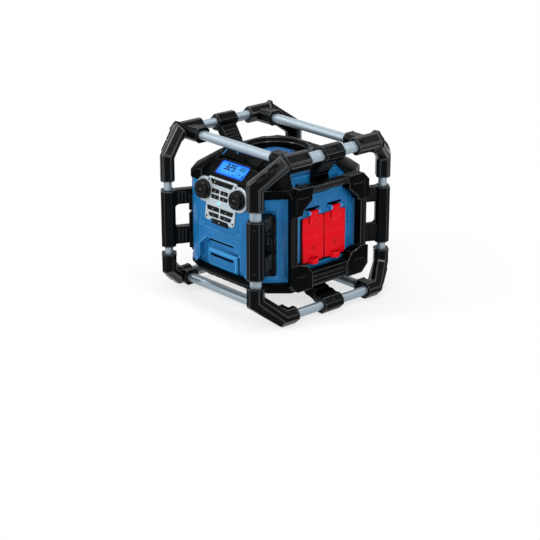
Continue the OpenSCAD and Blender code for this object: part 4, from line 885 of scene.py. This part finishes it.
def half_section():
    """Half of the tube's outline: the round of one side, then the grooved top from right to left."""
    flat = TUBE_WIDE - TUBE_THICK
    turns = [math.radians(-80 + 16 * k) for k in range(11)]
    rim = [(flat + TUBE_THICK * math.cos(a), TUBE_THICK * math.sin(a)) for a in turns]
    middles = [GROOVE_PITCH, 0, -GROOVE_PITCH]
    return rim + [(middle + x, TUBE_THICK - depth) for middle in middles for x, depth in GROOVE]


def tube(name, start, end, out, axis):
    """A closed tube from one point to another, with a wide face towards out."""
    bm = bmesh.new()
    half = half_section()
    verts = [bm.verts.new((x * MM, y * MM, 0)) for x, y in half + [(-x, -y) for x, y in half]]
    edges = [bm.edges.new(pair) for pair in zip(verts, verts[1:] + verts[:1])]
    a, b = Vector(start) * MM, Vector(end) * MM
    run_section(bm, edges, [place(a, b - a, Vector(out)), place(b, b - a, Vector(out))])
    bmesh.ops.holes_fill(bm, edges=[e for e in bm.edges if e.is_boundary], sides=0)
    from_bmesh("tube_" + name, bm, [ALU[axis]], stands_for=[name], sharp=50)


# %% The twelve tubes
for corner, (sx, sy) in CORNERS.items():
    x, y = POST_X * sx, POST_Y * sy
    tube("post_tube_" + corner, (x, y, 71), (x, y, 302), (POST_OUT.x * sx, POST_OUT.y * sy, 0), "z")
for side, s in (("right", 1), ("left", -1)):
    top, foot = RAIL_X * s, FOOT_X * s
    tube("top_side_tube_" + side, (top, -92, RAIL_Z), (top, 92, RAIL_Z), (s, 0, 1), "y")
    tube("bottom_side_tube_" + side, (foot, -122, FOOT_Z), (foot, 122, FOOT_Z), (s, 0, -1), "y")
for side, s in (("front", 1), ("rear", -1)):
    top, foot = CROSS_Y * s, FOOT_CROSS_Y * s
    tube("top_cross_tube_" + side, (-146, top, CROSS_Z), (146, top, CROSS_Z), (0, 0, 1), "x")
    tube("bottom_cross_tube_" + side, (-160, foot, FOOT_Z), (160, foot, FOOT_Z), (0, 0, 1), "x")
print("tubes made")

# %% [markdown]
# ## Studio
# A pale floor and large soft lamps. The floor and the background look white to the camera
# through Is Camera Ray, and never because of more light on the object. Near the radio the floor
# keeps more of its own shade, and with it the shadow.

# %% Floor
bm = bmesh.new()
bmesh.ops.create_grid(bm, x_segments=1, y_segments=1, size=6)
floor_mesh = bpy.data.meshes.new("floor")
bm.to_mesh(floor_mesh)
bm.free()
floor = bpy.data.objects.new("floor", floor_mesh)
scene.collection.objects.link(floor)
floor_mat = bpy.data.materials.new("floor_white")
floor_mat.use_nodes = True
tree = floor_mat.node_tree
paper = tree.nodes["Principled BSDF"]
paper.inputs["Roughness"].default_value = 0.8
speck = tree.nodes.new("ShaderNodeTexNoise")
speck.inputs["Scale"].default_value = 3
tone = tree.nodes.new("ShaderNodeValToRGB")
tone.color_ramp.elements[0].color = (0.80, 0.81, 0.82, 1)
tone.color_ramp.elements[1].color = (0.86, 0.87, 0.88, 1)
tree.links.new(speck.outputs["Fac"], tone.inputs["Fac"])
tree.links.new(tone.outputs["Color"], paper.inputs["Base Color"])
glow = tree.nodes.new("ShaderNodeEmission")


# %% Helper for what the camera sees
def seen(tree):
    """1 for camera, glossy and transmitted rays, else 0."""
    rays = tree.nodes.new("ShaderNodeLightPath")
    total = rays.outputs["Is Camera Ray"]
    for ray in ("Is Glossy Ray", "Is Transmission Ray"):
        either = tree.nodes.new("ShaderNodeMath")
        either.operation = "MAXIMUM"
        tree.links.new(total, either.inputs[0])
        tree.links.new(rays.outputs[ray], either.inputs[1])
        total = either.outputs[0]
    return total


# %% White of the floor
spot = tree.nodes.new("ShaderNodeTexCoord")
reach = tree.nodes.new("ShaderNodeVectorMath")
reach.operation = "LENGTH"
tree.links.new(spot.outputs["Object"], reach.inputs[0])
fade = tree.nodes.new("ShaderNodeMapRange")
fade.interpolation_type = "SMOOTHSTEP"
for socket, value in (("From Min", 0.2), ("From Max", 0.75), ("To Min", 0.7), ("To Max", 1.0)):
    fade.inputs[socket].default_value = value
tree.links.new(reach.outputs["Value"], fade.inputs["Value"])
part = tree.nodes.new("ShaderNodeMath")
part.operation = "MULTIPLY"
tree.links.new(seen(tree), part.inputs[0])
tree.links.new(fade.outputs["Result"], part.inputs[1])
mix = tree.nodes.new("ShaderNodeMixShader")
tree.links.new(part.outputs[0], mix.inputs["Fac"])
tree.links.new(paper.outputs["BSDF"], mix.inputs[1])
tree.links.new(glow.outputs["Emission"], mix.inputs[2])
tree.links.new(mix.outputs["Shader"], tree.nodes["Material Output"].inputs["Surface"])
floor_mesh.materials.append(floor_mat)
print("floor made")

# %% World
world = bpy.data.worlds.new("studio")
scene.world = world
world.use_nodes = True
sky = world.node_tree.nodes["Background"]
sky.inputs["Color"].default_value = (1, 1, 1, 1)
level = world.node_tree.nodes.new("ShaderNodeMapRange")
level.inputs["To Min"].default_value = 0.4
level.inputs["To Max"].default_value = 1.0
world.node_tree.links.new(seen(world.node_tree), level.inputs["Value"])
world.node_tree.links.new(level.outputs["Result"], sky.inputs["Strength"])
print("world made")

# %% [markdown]
# The main lamp stands high at the front left. The others are weaker: one over the top, one on
# each side, one behind for the far tubes and a small one that fills the front right corner.

# %% Lamps
def softbox(name, at, look, size, power):
    """A rectangular lamp at a point that looks at another."""
    lamp = bpy.data.lights.new(name, "AREA")
    lamp.shape = "RECTANGLE"
    lamp.size, lamp.size_y = size
    lamp.energy = power
    ob = bpy.data.objects.new(name, lamp)
    ob.location = at
    ob.rotation_euler = (Vector(look) - Vector(at)).to_track_quat("-Z", "Y").to_euler()
    scene.collection.objects.link(ob)


BODY, BELLY = (0, 0, 0.2), (0, 0, 0.25)
softbox("key_left", (-0.9, -2.3, 1.7), BODY, (0.55, 0.9), 42)
softbox("top", (0.2, 0.2, 2.4), BODY, (0.9, 0.9), 22)
softbox("rim_left", (-1.92, -0.33, 1.9), BELLY, (0.5, 0.9), 9)
softbox("rim_back", (0.86, 1.64, 2.0), BELLY, (0.8, 0.5), 4)
softbox("side_right", (2.3, -0.3, 1.5), BODY, (0.4, 0.9), 21)
softbox("fill_front", (1.44, -1.72, 1.55), BELLY, (0.4, 0.4), 11)
scene.view_settings.view_transform = "Standard"
print("lamps made")
